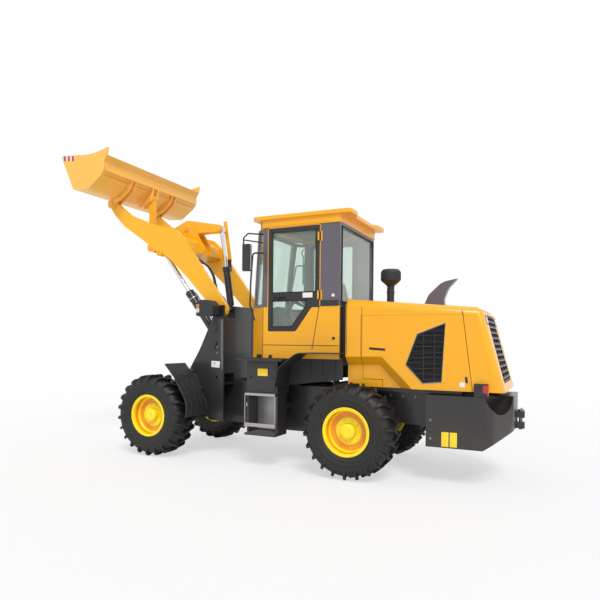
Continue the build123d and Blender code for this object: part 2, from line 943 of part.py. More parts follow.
def rear_fender():
    face = outline(
        (STEP_REAR - 8, 1000),
        (STEP_REAR - 45, 1225, 150),
        (610, 1408, 180),
        (150, 1408),
        (150, 1398),
        (606, 1398, 170),
        (STEP_REAR - 55, 1220, 140),
        (STEP_REAR - 18, 1000),
    )
    half = CAB_WIDTH / 2
    return upright(face, half + SEAT_GAP, TRACK / 2 + 190)


def step_box():
    """The left step box: locker, tread plate above, two open steps below."""
    locker = block((STEP_REAR, 1330), (548, 850), (900, 1300))
    tread = block((800, 1420), (548, 950), (1300, 1328))
    back = block((STEP_REAR, 1330), (600, 625), (400, 905))
    front = block((1305, 1330), (620, 840), (400, 905))
    rear = block((STEP_REAR, STEP_REAR + 25), (620, 840), (400, 905))
    low = block((STEP_REAR, 1330), (610, 900), (400, 425))
    high = block((STEP_REAR, 1330), (610, 900), (880, 905))
    mount = block((STEP_REAR + 20, STEP_REAR + 180), (RAIL_OUTER + SEAT_GAP, 610), (700, 780))
    return locker + tread + back + front + rear + low + high + mount


def outside_cab(piece):
    """A piece trimmed where it meets the cab's skin."""
    piece -= cab_prism(CAB_FLOOR, CAB_BELT, -SEAT_GAP)
    return piece - cab_prism(CAB_BELT, CAB_TOP, -SEAT_GAP)


def mirror_left():
    head = block((1290, 1400), (830, 870), (2390, 2720))
    edges = head.edges().filter_by(Axis.Y)
    head = fillet(edges, 18)
    path = [(1262, 590, 2880), (1385, 760, 2870), (1395, 850, 2800), (1395, 850, 2700)]
    arm = tube_path(path, 35, 9)
    brace = bar((1262, 590, 2775), (1395, 850, 2775), 8)
    return head + outside_cab(arm + brace)


def grab_handle():
    path = [
        (1245, 620, 2640),
        (1400, 620, 2650),
        (1450, 580, 2300),
        (1460, 580, 2000),
        (1400, 560, 1800),
    ]
    return outside_cab(tube_path(path, 40, 11))


def roof_lamp_box(side, gap):
    """One front work lamp's body, or with a gap the pocket it sits in."""
    y = side * 395
    low = CAB_TOP + 12 - gap
    return block((1300 - gap, 1388 + 20 * gap), (y - 55 - gap, y + 55 + gap), (low, low + 76 + 2 * gap))


def tail_lamp():
    half = HOOD_WIDTH / 2
    return block((-1460, -1320), (half + 2, half + 48), (COUNTERWEIGHT_TOP + SEAT_GAP, 1110))


# Front frame


def tower_face(neck):
    """The tower plate in side view; the inner plates also reach back to the hinge."""
    x = FRONT_X
    back = [(x - 900, 1150), (x - 900, 2010)]
    foot = [(x - 330, 560, 40), (x - 900, 470)]
    if neck:
        rear = PIVOT_X + NECK_LENGTH
        back = [(rear, 430), (rear, FRAME_TOP), (x - 900, 1010), (x - 900, 2010)]
        foot = [(x - 330, 560, 40), (x - 500, 430)]
    return outline(
        *back,
        (x - 750, 2010, 30),
        (x - 715, 1830, 80),
        (x - 510, 1410),
        (x - 350, 1150, 60),
        (x - 240, 1010, 60),
        (x + 200, 940, 30),
        (x + 200, 660, 30),
        (x + 150, AXLE_TOP + SEAT_GAP),
        (x - 160, AXLE_TOP + SEAT_GAP),
        *foot,
    )


def hinge_lug(height):
    """The front frame's lug, with its bore for the hinge pin."""
    rear = PIVOT_X + NECK_LENGTH
    half = HINGE_LUG_THICKNESS / 2
    face = Pos(PIVOT_X + NECK_LENGTH / 2, 0) * Rectangle(NECK_LENGTH, 2 * HINGE_LUG_RADIUS)
    face += Pos(PIVOT_X, 0) * Circle(HINGE_LUG_RADIUS)
    face -= Pos(PIVOT_X, 0) * Circle(HINGE_PIN_RADIUS + PIN_PLAY)
    return level(face, height - half, height + half)


def steer_rod_ears():
    """Ears on the neck that straddle the left steering rod's eye."""
    x = PIVOT_X + STEER_ROD_AHEAD
    face = Pos(x, STEER_CENTRE) * Circle(34)
    face += Pos(x + 10, (STEER_CENTRE + NECK_OUTER) / 2) * Rectangle(88, STEER_CENTRE - NECK_OUTER)
    reach = 22 + SIDE_GAP
    upper = level(face, STEER_HEIGHT + reach, STEER_HEIGHT + reach + 16)
    lower = level(face, STEER_HEIGHT - reach - 16, STEER_HEIGHT - reach)
    return upper + lower


def tower_pins():
    """Boom pivot and lift cylinder pins, across the left pair of tower plates."""
    pins = disc_y(BOOM_PIVOT, BOOM_PIN_RADIUS, NECK_OUTER - 30, TOWER_OUTER + 12)
    pins += disc_y(LIFT_BASE, LIFT_PIN_RADIUS, NECK_OUTER - 30, TOWER_OUTER + 12)
    return pins


def tilt_base():
    """The bracket between the inner plates that holds the tilt cylinder's base pin."""
    x, z = TILT_BASE
    wall = FRONT_X - 870
    inner = EYE_WIDTH / 2 + SIDE_GAP
    face = outline((wall - 5, z - 180), (x - 20, z - 50), (x, z), (x - 20, z + 45), (wall - 5, z + 30))
    face += Pos(x, z) * Circle(52)
    ear = upright(face, inner, inner + PLATE)
    pin = disc_y(TILT_BASE, LIFT_PIN_RADIUS, -inner - PLATE - 8, inner + PLATE + 8)
    return ear + other_side(ear) + pin


def front_frame():
    x = FRONT_X
    rear = PIVOT_X + NECK_LENGTH
    inner = NECK_OUTER - PLATE
    outer_plate = upright(tower_face(False), TOWER_INNER, TOWER_OUTER)
    outer_plate -= disc_y((TIE_EYE_X, TIE_EYE_Z), TIE_EYE_RADIUS, 0, 999)
    inner_plate = upright(tower_face(True), inner, NECK_OUTER)
    back_plate = block((x - 900, x - 875), (NECK_OUTER - 1, TOWER_INNER + 1), (1100, 1850))
    side = outer_plate + inner_plate + back_plate + tower_pins() + steer_rod_ears()
    body = side + other_side(side)
    body += block((x - 895, x - 870), (-inner, inner), (FRAME_TOP, 2010))
    body += block((rear, rear + PLATE), (-NECK_OUTER, NECK_OUTER), (430, FRAME_TOP))
    body += block((rear, x - 300), (-inner - 5, inner + 5), (FRAME_TOP - 30, FRAME_TOP - 5))
    body += block((x - 900, x - 300), (-TOWER_INNER, TOWER_INNER), (FRAME_TOP - 30, FRAME_TOP - 5))
    body += block((rear, x - 500), (-inner - 5, inner + 5), (432, 455))
    body += block((x + 175, x + 200), (-TOWER_INNER, TOWER_INNER), (680, 930))
    body -= bar((rear - 50, 0, 600), (rear + 80, 0, 598), 80)
    body += hinge_lug(HINGE_UPPER)
    body += hinge_lug(HINGE_LOWER)
    body += tilt_base()
    return [body]


def front_drive_shaft():
    start = (PIVOT_X + SHAFT_GAP, 0, 600)
    end = (FRONT_X - 290, 0, WHEEL_RADIUS)
    beyond = block((FRONT_X - 300 - SEAT_GAP, FRONT_X), (-99, 99), (400, 700))
    return [bar(start, end, 34) - beyond]


def front_fender():
    """A curved mudguard behind the left front wheel, on two brackets from the tower."""
    x = FRONT_X
    face = outline(
        (x - 632, 560),
        (x - 660, 700, 300),
        (x - 590, 840, 300),
        (x - 450, 1060, 250),
        (x - 300, 1225),
        (x - 307, 1234),
        (x - 459, 1068, 262),
        (x - 600, 848, 312),
        (x - 672, 700, 312),
        (x - 644, 556),
    )
    guard = upright(face, TYRE_INNER, TRACK / 2 + TYRE_WIDTH / 2 + 5)
    for dx, z in ((-578, 900), (-420, 1115)):
        low = TOWER_OUTER + SEAT_GAP
        guard += block((x + dx - 20, x + dx + 20), (low, TYRE_INNER + 20), (z - 20, z + 20))
    return guard


def headlamp():
    """A rounded lamp body on a bracket from the tower's top."""
    x = FRONT_X
    face = outline(
        (x - 850, 1860, 30),
        (x - 590, 1860, 10),
        (x - 590, 2030, 40),
        (x - 650, 2070, 60),
        (x - 790, 2070, 80),
        (x - 850, 1990, 60),
    )
    body = upright(face, TOWER_OUTER + 30, TOWER_OUTER + 190)
    post = block((x - 785, x - 735), (TOWER_OUTER + SEAT_GAP, TOWER_OUTER + 40), (1880, 1970))
    return body + post


# Boom


def arm_face():
    """One boom arm in side view: a curved neck towards the bucket, deepest at the crossmember."""
    tip = BOOM_LENGTH
    points = (
        (0, -95),
        (700, -14, 900),
        (1150, 4, 400),
        (1500, -54, 900),
        (tip - 390, -122, 200),
        (tip - 150, -100, 120),
        (tip, -ARM_TIP_RADIUS),
        (tip, ARM_TIP_RADIUS),
        (tip - 190, 60, 60),
        (tip - 390, 70, 160),
        (1700, 200, 300),
        (1300, 378, 120),
        (1110, 372, 60),
        (900, 308, 60),
        (0, 95),
    )
    corners = [(*on_boom(p[0], p[1]), *p[2:]) for p in points]
    face = outline(*corners)
    face += Pos(*BOOM_PIVOT) * Circle(95)
    face += Pos(*BUCKET_PIN) * Circle(ARM_TIP_RADIUS)
    return face


def boom_arm():
    face = arm_face()
    face -= Pos(*BOOM_PIVOT) * Circle(BOOM_PIN_RADIUS + PIN_PLAY)
    face -= Pos(*BUCKET_PIN) * Circle(BUCKET_PIN_RADIUS + PIN_PLAY)
    return upright(face, ARM_INNER, ARM_OUTER)


def bellcrank_bracket():
    """One plate of the pair on the crossmember that holds the bellcrank's pin."""
    points = (
        (1005, 255),
        (965, 300),
        (990, 345),
        (1190, 420, 60),
        (BELLCRANK_PIVOT[0] - 30, BELLCRANK_PIVOT[1] + 88, 40),
        (BELLCRANK_PIVOT[0] + 88, BELLCRANK_PIVOT[1], 60),
        (1315, 130),
        (1130, 80),
    )
    corners = [(*on_boom(p[0], p[1]), *p[2:]) for p in points]
    return upright(outline(*corners), BRACKET_INNER, BRACKET_OUTER)


def boom():
    half = ARM_INNER + 1
    section = outline(*[on_boom(*p) for p in CROSS_SECTION])
    cross = upright(section - offset(section, -CROSS_WALL), -half, half)
    arm = boom_arm()
    bracket = bellcrank_bracket()
    body = cross + arm + other_side(arm) + bracket + other_side(bracket)
    reach = BRACKET_OUTER + 10
    body += disc_y(on_boom(*BELLCRANK_PIVOT), BELLCRANK_PIN_RADIUS, -reach, reach)
    for y in (ARM_INNER - 12, ARM_OUTER):
        boss = disc_y(on_boom(*LIFT_PIN), 52, y, y + 12)
        body += boss + other_side(boss)
    return [body]


def bellcrank_plate():
    r = ROD_PIN
    b = BELLCRANK_PIVOT
    f = LINK_PIN
    points = (
        (r[0] - 60, r[1] - 10, 42),
        (r[0] - 10, r[1] + 65, 42),
        (r[0] + 213, r[1] - 55, 200),
        (b[0] + 100, b[1] + 82, 120),
        (b[0] + 165, b[1] - 40, 120),
        (f[0] + 68, f[1] + 20, 60),
        (f[0] + 10, f[1] - 70, 60),
        (f[0] - 68, f[1] - 20, 60),
        (b[0] + 30, b[1] - 250, 200),
        (b[0] - 95, b[1] - 95, 100),
        (b[0] - 200, b[1] + 64, 100),
        (b[0] - 265, b[1] + 120, 100),
    )
    corners = [(*on_boom(p[0], p[1]), *p[2:]) for p in points]
    face = outline(*corners)
    face -= Pos(*on_boom(*b)) * Circle(BELLCRANK_PIN_RADIUS + PIN_PLAY)
    return upright(face, BELLCRANK_INSIDE, BELLCRANK_OUTER)


def bellcrank():
    """Two plates joined by the tube that turns on the bracket's pin."""
    plate = bellcrank_plate()
    pivot = on_boom(*BELLCRANK_PIVOT)
    tube = disc_y(pivot, 65, -BELLCRANK_INSIDE - 1, BELLCRANK_INSIDE + 1)
    body = plate + other_side(plate) + tube
    body -= disc_y(pivot, BELLCRANK_PIN_RADIUS + PIN_PLAY, -100, 100)
    for point in (LINK_PIN, ROD_PIN):
        head = disc_y(on_boom(*point), LINK_PIN_RADIUS + 10, BELLCRANK_OUTER - 2, BELLCRANK_OUTER + 6)
        body += head + other_side(head)
    return [body]


def tilt_link():
    """The bar from the bellcrank's lower end to the bucket, bored at the bucket's pin."""
    start = on_boom(*LINK_PIN)
    end = on_bucket(*BUCKET_LINK_PIN)
    half = BELLCRANK_INSIDE - SIDE_GAP
    shank = Pos(*start) * Circle(46) + Pos(*end) * Circle(44)
    face = outline(
        (start[0] - 38, start[1]), (start[0] + 38, start[1]), (end[0] + 36, end[1]), (end[0] - 36, end[1])
    )
    body = upright(shank + face, -half, half)
    body -= disc_y(end, LINK_PIN_RADIUS + PIN_PLAY, -60, 60)
    return [body]


# Bucket


BUCKET_PROFILE = (
    (412, 560),
    (186, 92, 40),
    (-90, 70, 150),
    (-392, 275, 200),
    (-392, 430, 10),
    (-445, 500),
)


def bucket_section(closing):
    """The bucket's side outline, closed across the mouth by the given points."""
    return outline(*[(*on_bucket(p[0], p[1]), *p[2:]) for p in (*BUCKET_PROFILE, *closing)])


def bucket_hinge_ear():
    """One hinge ear, a rib that follows the curved back up from the pin."""
    face = Pos(*BUCKET_PIN) * Circle(68)
    points = (
        (-68, -6),
        (-200, 60, 80),
        (-350, 170, 60),
        (-400, 300),
        (-386, 305),
        (-300, 195),
        (-170, 95),
        (0, 46),
        (60, 44),
        (68, 0),
    )
    face += outline(*[(*on_bucket(p[0], p[1]), *p[2:]) for p in points])
    return face


def bucket_link_ear():
    """One plate of the pair that holds the link's top pin."""
    x, z = BUCKET_LINK_PIN
    points = (
        (x - 50, z - 10, 40),
        (x - 60, z + 130, 40),
        (-405, 400),
        (-388, 400),
        (-385, 250),
        (-250, 120),
        (-120, 60),
        (-140, 20, 20),
        (x + 40, z - 50, 40),
        (x - 30, z - 55, 40),
    )
    return outline(*[(*on_bucket(p[0], p[1]), *p[2:]) for p in points])


def bucket():
    """Shell, side plates, hinge ears with their pins, and link ears."""
    half = BUCKET_WIDTH / 2
    room = half - BUCKET_SIDE
    outer = bucket_section(((-300, 560), (150, 545)))
    body = upright(outer, -half + 4, half - 4)
    inner = offset(outer, -BUCKET_SHELL)
    body -= upright(inner, -room, room)
    body -= upright(Pos(-4, 22) * inner, -room, room)
    body -= upright(Pos(-8, 60) * inner, -room, room)
    cheek = bucket_section(((-462, 610, 10), (-370, 582), (-130, 545, 200), (385, 592, 10), (412, 580)))
    plate = upright(cheek, half - BUCKET_SIDE, half)
    body += plate
    body += other_side(plate)
    for low in (ARM_INNER - SIDE_GAP - EAR_THICKNESS, ARM_OUTER + SIDE_GAP):
        ear = upright(bucket_hinge_ear(), low, low + EAR_THICKNESS)
        body += ear + other_side(ear)
    low = ARM_INNER - SIDE_GAP - EAR_THICKNESS - 6
    pin = disc_y(BUCKET_PIN, BUCKET_PIN_RADIUS, low, ARM_OUTER + SIDE_GAP + EAR_THICKNESS + 6)
    body += pin + other_side(pin)
    for side in (-1, 1):
        low = BELLCRANK_INSIDE
        ear = upright(bucket_link_ear(), low, low + LINK_EAR_THICKNESS)
        body += ear if side > 0 else other_side(ear)
    reach = BELLCRANK_INSIDE + LINK_EAR_THICKNESS + 6
    body += disc_y(on_bucket(*BUCKET_LINK_PIN), LINK_PIN_RADIUS, -reach, reach)
    return [body]


# Cylinders


def cylinder_barrel(base, end, length, radius, rod, pin, y, width):
    """A barrel with its base eye, neck and gland ring, bored for the rod."""
    body = disc_y(base, radius * 0.85, y - width / 2, y + width / 2)
    body += rod_along(base, end, pin + 6, radius + 30, width / 2 - 3, y)
    body += rod_along(base, end, radius + 12, length, radius, y)
    body += rod_along(base, end, length - 55, length, radius + 6, y)
    body -= disc_y(base, pin + PIN_PLAY, y - width, y + width)
    body -= rod_along(base, end, radius + 45, length + 50, rod + PIN_PLAY, y)
    return body


def cylinder_rod(base, end, start, radius, eye, y, width):
    """A rod that reaches back into its barrel, with a closed eye at its end."""
    length = hypot(end[0] - base[0], end[1] - base[1])
    body = rod_along(base, end, start, length, radius, y)
    body += disc_y(end, eye, y - width / 2, y + width / 2)
    return body


def lift_cylinder():
    end = on_boom(*LIFT_PIN)
    return cylinder_barrel(
        LIFT_BASE, end, LIFT_BARREL_LENGTH, LIFT_BARREL_RADIUS, LIFT_ROD_RADIUS,
        LIFT_PIN_RADIUS, LIFT_CENTRE, 80,
    )


def lift_rod():
    """The lift rod, with the pin stub that reaches to the arm."""
    end = on_boom(*LIFT_PIN)
    start = LIFT_BARREL_LENGTH - LIFT_ROD_INSIDE
    body = cylinder_rod(LIFT_BASE, end, start, LIFT_ROD_RADIUS, 46, LIFT_CENTRE, 70)
    body += disc_y(end, LIFT_PIN_RADIUS, LIFT_CENTRE - 45, ARM_INNER - 12 - SIDE_GAP)
    return body


def tilt_cylinder():
    end = on_boom(*ROD_PIN)
    barrel = cylinder_barrel(
        TILT_BASE, end, TILT_BARREL_LENGTH, TILT_BARREL_RADIUS, TILT_ROD_RADIUS,
        LIFT_PIN_RADIUS, 0, EYE_WIDTH,
    )
    return [barrel]


def tilt_rod():
    end = on_boom(*ROD_PIN)
    half = BELLCRANK_INSIDE - SIDE_GAP
    start = TILT_BARREL_LENGTH - TILT_ROD_INSIDE
    return [cylinder_rod(TILT_BASE, end, start, TILT_ROD_RADIUS, 44, 0, 2 * half)]


def steer_line(side):
    base = (PIVOT_X - STEER_BASE_BACK, side * STEER_CENTRE, STEER_HEIGHT)
    end = (PIVOT_X + STEER_ROD_AHEAD, side * STEER_CENTRE, STEER_HEIGHT)
    return base, end


def steer_cylinder(side):
    base, end = steer_line(side)
    x, y, z = base
    body = disc_z((x, y), 36, z - 25, z + 25)
    body += bar((x + 20, y, z), (x + 60, y, z), 22)
    body += bar((x + 46, y, z), (x + STEER_BARREL_LENGTH, y, z), STEER_BARREL_RADIUS)
    body -= disc_z((x, y), 16 + PIN_PLAY, z - 60, z + 60)
    body -= bar((x + 70, y, z), (x + STEER_BARREL_LENGTH + 9, y, z), STEER_ROD_RADIUS + PIN_PLAY)
    return [body]


def steer_rod(side):
    base, end = steer_line(side)
    x, y, z = end
    body = bar((base[0] + STEER_BARREL_LENGTH - STEER_ROD_INSIDE, y, z), end, STEER_ROD_RADIUS)
    body += disc_z((x, y), 30, z - 22, z + 22)
    return [body]


# The whole machine


def machine():
    """Every node, by name, as a list of solids drawn from the rear axle."""
    left_lift = lift_cylinder()
    left_rod = lift_rod()
    door = engine_door()
    cab_left = cab_door()
    glass_left = cab_door_glass()
    nodes = {
        "rear_frame": rear_frame(),
        "rear_axle": [axle(0, 1, [RAIL_OUTER - RAIL_THICKNESS / 2])],
        "engine": engine(),
        "gearbox": gearbox(),
        "counterweight": counterweight(),
        "tow_pin": tow_pin(),
        "hood": hood(),
        "rear_grille": rear_grille(),
        "precleaner": precleaner(),
        "exhaust_stack": exhaust_stack(),
        "cab_base": cab_base(),
        "cab_frame": cab_frame(),
        "cab_roof": cab_roof(),
        "cab_glass": cab_glass(),
        "operator_seat": operator_seat(),
        "seat_cushion": seat_cushion(),
        "steering_console": steering_console(),
        "steering_wheel": steering_wheel(),
        "rear_fenders": both_sides(rear_fender()),
        "step_boxes": both_sides(step_box()),
        "mirrors": both_sides(mirror_left()),
        "grab_handles": both_sides(grab_handle()),
        "roof_lamps": [roof_lamp_box(1, 0), roof_lamp_box(-1, 0)],
        "tail_lamps": both_sides(tail_lamp()),
        "cab_door_left": cab_left,
        "cab_door_right": [other_side(s) for s in cab_left],
        "door_glass_left": glass_left,
        "door_glass_right": [other_side(s) for s in glass_left],
        "engine_door_left": [door],
        "engine_door_right": [other_side(door)],
        "front_frame": front_frame(),
        "front_axle": [axle(FRONT_X, -1, [NECK_OUTER - PLATE / 2, TOWER_OUTER - PLATE / 2])],
        "front_drive_shaft": front_drive_shaft(),
        "front_fenders": both_sides(front_fender()),
        "headlamps": both_sides(headlamp()),
        "boom": boom(),
        "bellcrank": bellcrank(),
        "tilt_link": tilt_link(),
        "bucket": bucket(),
        "lift_cylinder_left": [left_lift],
        "lift_cylinder_right": [other_side(left_lift)],
        "lift_rod_left": [left_rod],
        "lift_rod_right": [other_side(left_rod)],
        "tilt_cylinder": tilt_cylinder(),
        "tilt_rod": tilt_rod(),
    }
    for side, name in ((1, "left"), (-1, "right")):
        nodes["steering_cylinder_" + name] = steer_cylinder(side)
        nodes["steering_rod_" + name] = steer_rod(side)
        for x, end in ((0, "rear"), (FRONT_X, "front")):
            rubber, metal = wheel_pieces(x, side)
            nodes["tyre_" + end + "_" + name] = rubber
            nodes["wheel_" + end + "_" + name] = metal
    return nodes


def middle_shift(nodes):
    """How far everything moves in X so that the machine's middle is over the origin."""
    boxes = [solid.bounding_box() for pieces in nodes.values() for solid in pieces]
    low = min(box.min.X for box in boxes)
    high = max(box.max.X for box in boxes)
    return -(low + high) / 2


def main():
    os.makedirs("parts", exist_ok=True)
    nodes = machine()
    shift = middle_shift(nodes)
    for name, pieces in nodes.items():
        solids = [Pos(shift, 0, 0) * solid for piece in pieces for solid in piece.solids()]
        whole = Compound(children=solids) if len(solids) > 1 else solids[0]
        export_step(whole, "parts/" + name + ".step")
    print("moved by", round(shift, 3))


if __name__ == "__main__":
    main()
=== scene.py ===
"""Looks for a small articulated wheel loader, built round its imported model."""

import math

import bmesh
import bpy
from mathutils import Matrix, Vector


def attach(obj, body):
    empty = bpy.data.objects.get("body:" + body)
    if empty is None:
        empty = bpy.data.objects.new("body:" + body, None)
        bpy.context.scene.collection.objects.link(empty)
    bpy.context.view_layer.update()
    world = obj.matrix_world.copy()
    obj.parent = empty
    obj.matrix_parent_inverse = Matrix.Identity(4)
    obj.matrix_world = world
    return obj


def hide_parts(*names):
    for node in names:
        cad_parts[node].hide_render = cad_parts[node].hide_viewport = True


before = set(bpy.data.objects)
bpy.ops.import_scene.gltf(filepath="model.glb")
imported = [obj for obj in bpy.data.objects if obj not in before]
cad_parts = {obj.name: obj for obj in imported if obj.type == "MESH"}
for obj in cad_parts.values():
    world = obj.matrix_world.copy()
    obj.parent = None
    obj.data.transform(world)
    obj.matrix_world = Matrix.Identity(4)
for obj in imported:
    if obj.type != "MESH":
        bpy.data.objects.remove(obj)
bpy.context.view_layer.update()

bl_info = {
    "name": "Wheel loader looks",
    "version": (1, 0, 0),
    "blender": (4, 5, 0),
    "location": "View3D > Sidebar > Loader",
    "description": "Paint, rubber, glass and small fittings for a compact wheel loader",
    "category": "Object",
}

# The rear axle's place in the frame, in metres; sizes below are millimetres from that axle
REAR_AXLE = -1.268841
WHEELBASE = 2800
HALF_TRACK = 762
AXLE_HEIGHT = 537.5
TYRE_RADIUS = 537.5
BEAD_RADIUS = 258
BEAD_HALF = 164.7
HOOD_HALF = 600
CAB_HALF = 625
TAIL_TOP = (-1400, 1840)
TAIL_SLOPE = 0.275
BOOM_PIVOT = (1970, 1960)
BOOM_ANGLE = math.radians(39.34)
ARM_OUTER = 475
BUCKET_PIN = (3910, 3549.9)
WHEELS = {
    "front_left": (WHEELBASE, 1, "wheel_front_left"),
    "front_right": (WHEELBASE, -1, "wheel_front_right"),
    "rear_left": (0, 1, "wheel_rear_left"),
    "rear_right": (0, -1, "wheel_rear_right"),
}
SIDES = (("left", 1), ("right", -1))
NUT_CIRCLE = 122
HUB_CIRCLE = 40

# The photograph's camera: picture and focal length in pixels, sensor in millimetres
PICTURE = 600
FOCAL = 540.9
PICTURE_MIDDLE = (307.6, 344.4)
SENSOR = 36


# Places and colours


def at(x, y, z):
    """A point given in millimetres from the rear axle, in the frame's metres."""
    return Vector((x / 1000 + REAR_AXLE, y / 1000, z / 1000))


def on_boom(along, across):
    """A point along the boom line and square to it, as (x, z) in millimetres."""
    x = BOOM_PIVOT[0] + along * math.cos(BOOM_ANGLE) - across * math.sin(BOOM_ANGLE)
    z = BOOM_PIVOT[1] + along * math.sin(BOOM_ANGLE) + across * math.cos(BOOM_ANGLE)
    return x, z


def on_bucket(dx, dz):
    """A point given from the bucket's hinge pin, as (x, z) in millimetres."""
    return BUCKET_PIN[0] + dx, BUCKET_PIN[1] + dz


def tail_x(z):
    """The hood's sloping tail at one height."""
    return TAIL_TOP[0] - (TAIL_TOP[1] - z) * TAIL_SLOPE


def tail_plate(low, high, front, back):
    """The outline of a flat plate that leans with the hood's tail."""
    return [
        (tail_x(low) + front, low),
        (tail_x(high) + front, high),
        (tail_x(high) + back, high),
        (tail_x(low) + back, low),
    ]


def on_side(side, inner, outer):
    """Two distances from the machine's middle, as the low and high y of one side."""
    return sorted((side * inner, side * outer))


def tone(red, green, blue):
    """A colour as seen on a screen, 0 to 255, as the shader wants it."""
    parts = []
    for value in (red, green, blue):
        share = value / 255
        parts.append(share / 12.92 if share <= 0.04045 else ((share + 0.055) / 1.055) ** 2.4)
    return (*parts, 1.0)


# Shared shader effects


def new_group(name, inputs, outputs):
    group = bpy.data.node_groups.new(name, "ShaderNodeTree")
    for label, kind, value in inputs:
        socket = group.interface.new_socket(label, in_out="INPUT", socket_type=kind)
        socket.default_value = value
    for label, kind in outputs:
        group.interface.new_socket(label, in_out="OUTPUT", socket_type=kind)
    start = group.nodes.new("NodeGroupInput")
    end = group.nodes.new("NodeGroupOutput")
    return group, start, end


def add_node(tree, kind, **values):
    node = tree.nodes.new(kind)
    for key, value in values.items():
        setattr(node, key, value)
    return node


def maths(tree, operation, first, second, clamp=False):
    """A maths node on two sockets or numbers; gives its output."""
    node = add_node(tree, "ShaderNodeMath", operation=operation, use_clamp=clamp)
    for socket, value in zip(node.inputs, (first, second)):
        if hasattr(value, "links"):
            tree.links.new(value, socket)
        else:
            socket.default_value = value
    return node.outputs[0]


def mix_colour(tree, factor, first, second):
    node = add_node(tree, "ShaderNodeMix", data_type="RGBA")
    for socket, value in zip((node.inputs[0], node.inputs[6], node.inputs[7]), (factor, first, second)):
        if hasattr(value, "links"):
            tree.links.new(value, socket)
        else:
            socket.default_value = value
    return node.outputs[2]


def place_noise(tree, scale, detail=4.0, rough=0.55, stretch=(1, 1, 1)):
    """Noise in the object's own space, so that it keeps to the piece."""
    spot = add_node(tree, "ShaderNodeTexCoord")
    sized = add_node(tree, "ShaderNodeMapping")
    sized.inputs["Scale"].default_value = stretch
    noise = add_node(tree, "ShaderNodeTexNoise")
    noise.inputs["Scale"].default_value = scale
    noise.inputs["Detail"].default_value = detail
    noise.inputs["Roughness"].default_value = rough
    tree.links.new(spot.outputs["Object"], sized.inputs["Vector"])
    tree.links.new(sized.outputs["Vector"], noise.inputs["Vector"])
    return noise


def build_worn_group():
    """Colour that varies over a surface: broad fading, fine specks and dust low down."""
    group, start, end = new_group(
        "Weathered coat",
        [
            ("Coat", "NodeSocketColor", (0.5, 0.5, 0.5, 1)),
            ("Faded", "NodeSocketColor", (0.6, 0.6, 0.6, 1)),
            ("Dust", "NodeSocketColor", (0.3, 0.27, 0.22, 1)),
            ("Fade amount", "NodeSocketFloat", 0.3),
            ("Dust amount", "NodeSocketFloat", 0.2),
            ("Dust height", "NodeSocketFloat", 1.2),
            ("Roughness", "NodeSocketFloat", 0.4),
        ],
        [("Color", "NodeSocketColor"), ("Roughness", "NodeSocketFloat"), ("Height", "NodeSocketFloat")],
    )
    link = group.links.new
    broad = place_noise(group, 1.6, 3.0)
    fine = place_noise(group, 38.0, 5.0)
    grain = place_noise(group, 420.0, 2.0)
    fade = maths(group, "MULTIPLY", broad.outputs["Fac"], start.outputs["Fade amount"])
    base = mix_colour(group, fade, start.outputs["Coat"], start.outputs["Faded"])
    spot = add_node(group, "ShaderNodeTexCoord")
    split = add_node(group, "ShaderNodeSeparateXYZ")
    link(spot.outputs["Object"], split.inputs[0])
    above = maths(group, "DIVIDE", split.outputs["Z"], start.outputs["Dust height"])
    low = maths(group, "SUBTRACT", 1.0, above, True)
    specks = maths(group, "MULTIPLY", fine.outputs["Fac"], broad.outputs["Fac"])
    dust = maths(group, "MULTIPLY", low, specks)
    dust = maths(group, "MULTIPLY", dust, start.outputs["Dust amount"])
    dust = maths(group, "MULTIPLY", dust, 3.0, True)
    link(mix_colour(group, dust, base, start.outputs["Dust"]), end.inputs["Color"])
    rough = maths(group, "MULTIPLY", fine.outputs["Fac"], 0.16)
    rough = maths(group, "ADD", rough, start.outputs["Roughness"])
    rough = maths(group, "ADD", rough, maths(group, "MULTIPLY", dust, 0.3))
    link(maths(group, "SUBTRACT", rough, 0.08, True), end.inputs["Roughness"])
    height = maths(group, "MULTIPLY", grain.outputs["Fac"], 0.3)
    height = maths(group, "ADD", height, maths(group, "MULTIPLY", fine.outputs["Fac"], 0.7))
    link(height, end.inputs["Height"])
    return group


def build_grain_group():
    """A moulded or rubber surface: fine pebbled height and slightly uneven sheen."""
    group, start, end = new_group(
        "Moulded grain",
        [
            ("Body", "NodeSocketColor", (0.02, 0.02, 0.02, 1)),
            ("Scuffed", "NodeSocketColor", (0.09, 0.085, 0.08, 1)),
            ("Scuff amount", "NodeSocketFloat", 0.4),
            ("Grain size", "NodeSocketFloat", 300.0),
            ("Roughness", "NodeSocketFloat", 0.6),
        ],
        [("Color", "NodeSocketColor"), ("Roughness", "NodeSocketFloat"), ("Height", "NodeSocketFloat")],
    )
    link = group.links.new
    cells = add_node(group, "ShaderNodeTexVoronoi")
    spot = add_node(group, "ShaderNodeTexCoord")
    link(spot.outputs["Object"], cells.inputs["Vector"])
    link(start.outputs["Grain size"], cells.inputs["Scale"])
    cloud = place_noise(group, 9.0, 6.0, 0.65)
    streak = place_noise(group, 60.0, 4.0, 0.6, (1, 1, 3))
    scuff = maths(group, "MULTIPLY", cloud.outputs["Fac"], streak.outputs["Fac"])
    scuff = maths(group, "MULTIPLY", scuff, start.outputs["Scuff amount"], True)
    link(mix_colour(group, scuff, start.outputs["Body"], start.outputs["Scuffed"]), end.inputs["Color"])
    rough = maths(group, "MULTIPLY", cloud.outputs["Fac"], 0.2)
    link(maths(group, "ADD", rough, start.outputs["Roughness"], True), end.inputs["Roughness"])
    height = maths(group, "ADD", cells.outputs["Distance"], streak.outputs["Fac"])
    link(height, end.inputs["Height"])
    return group


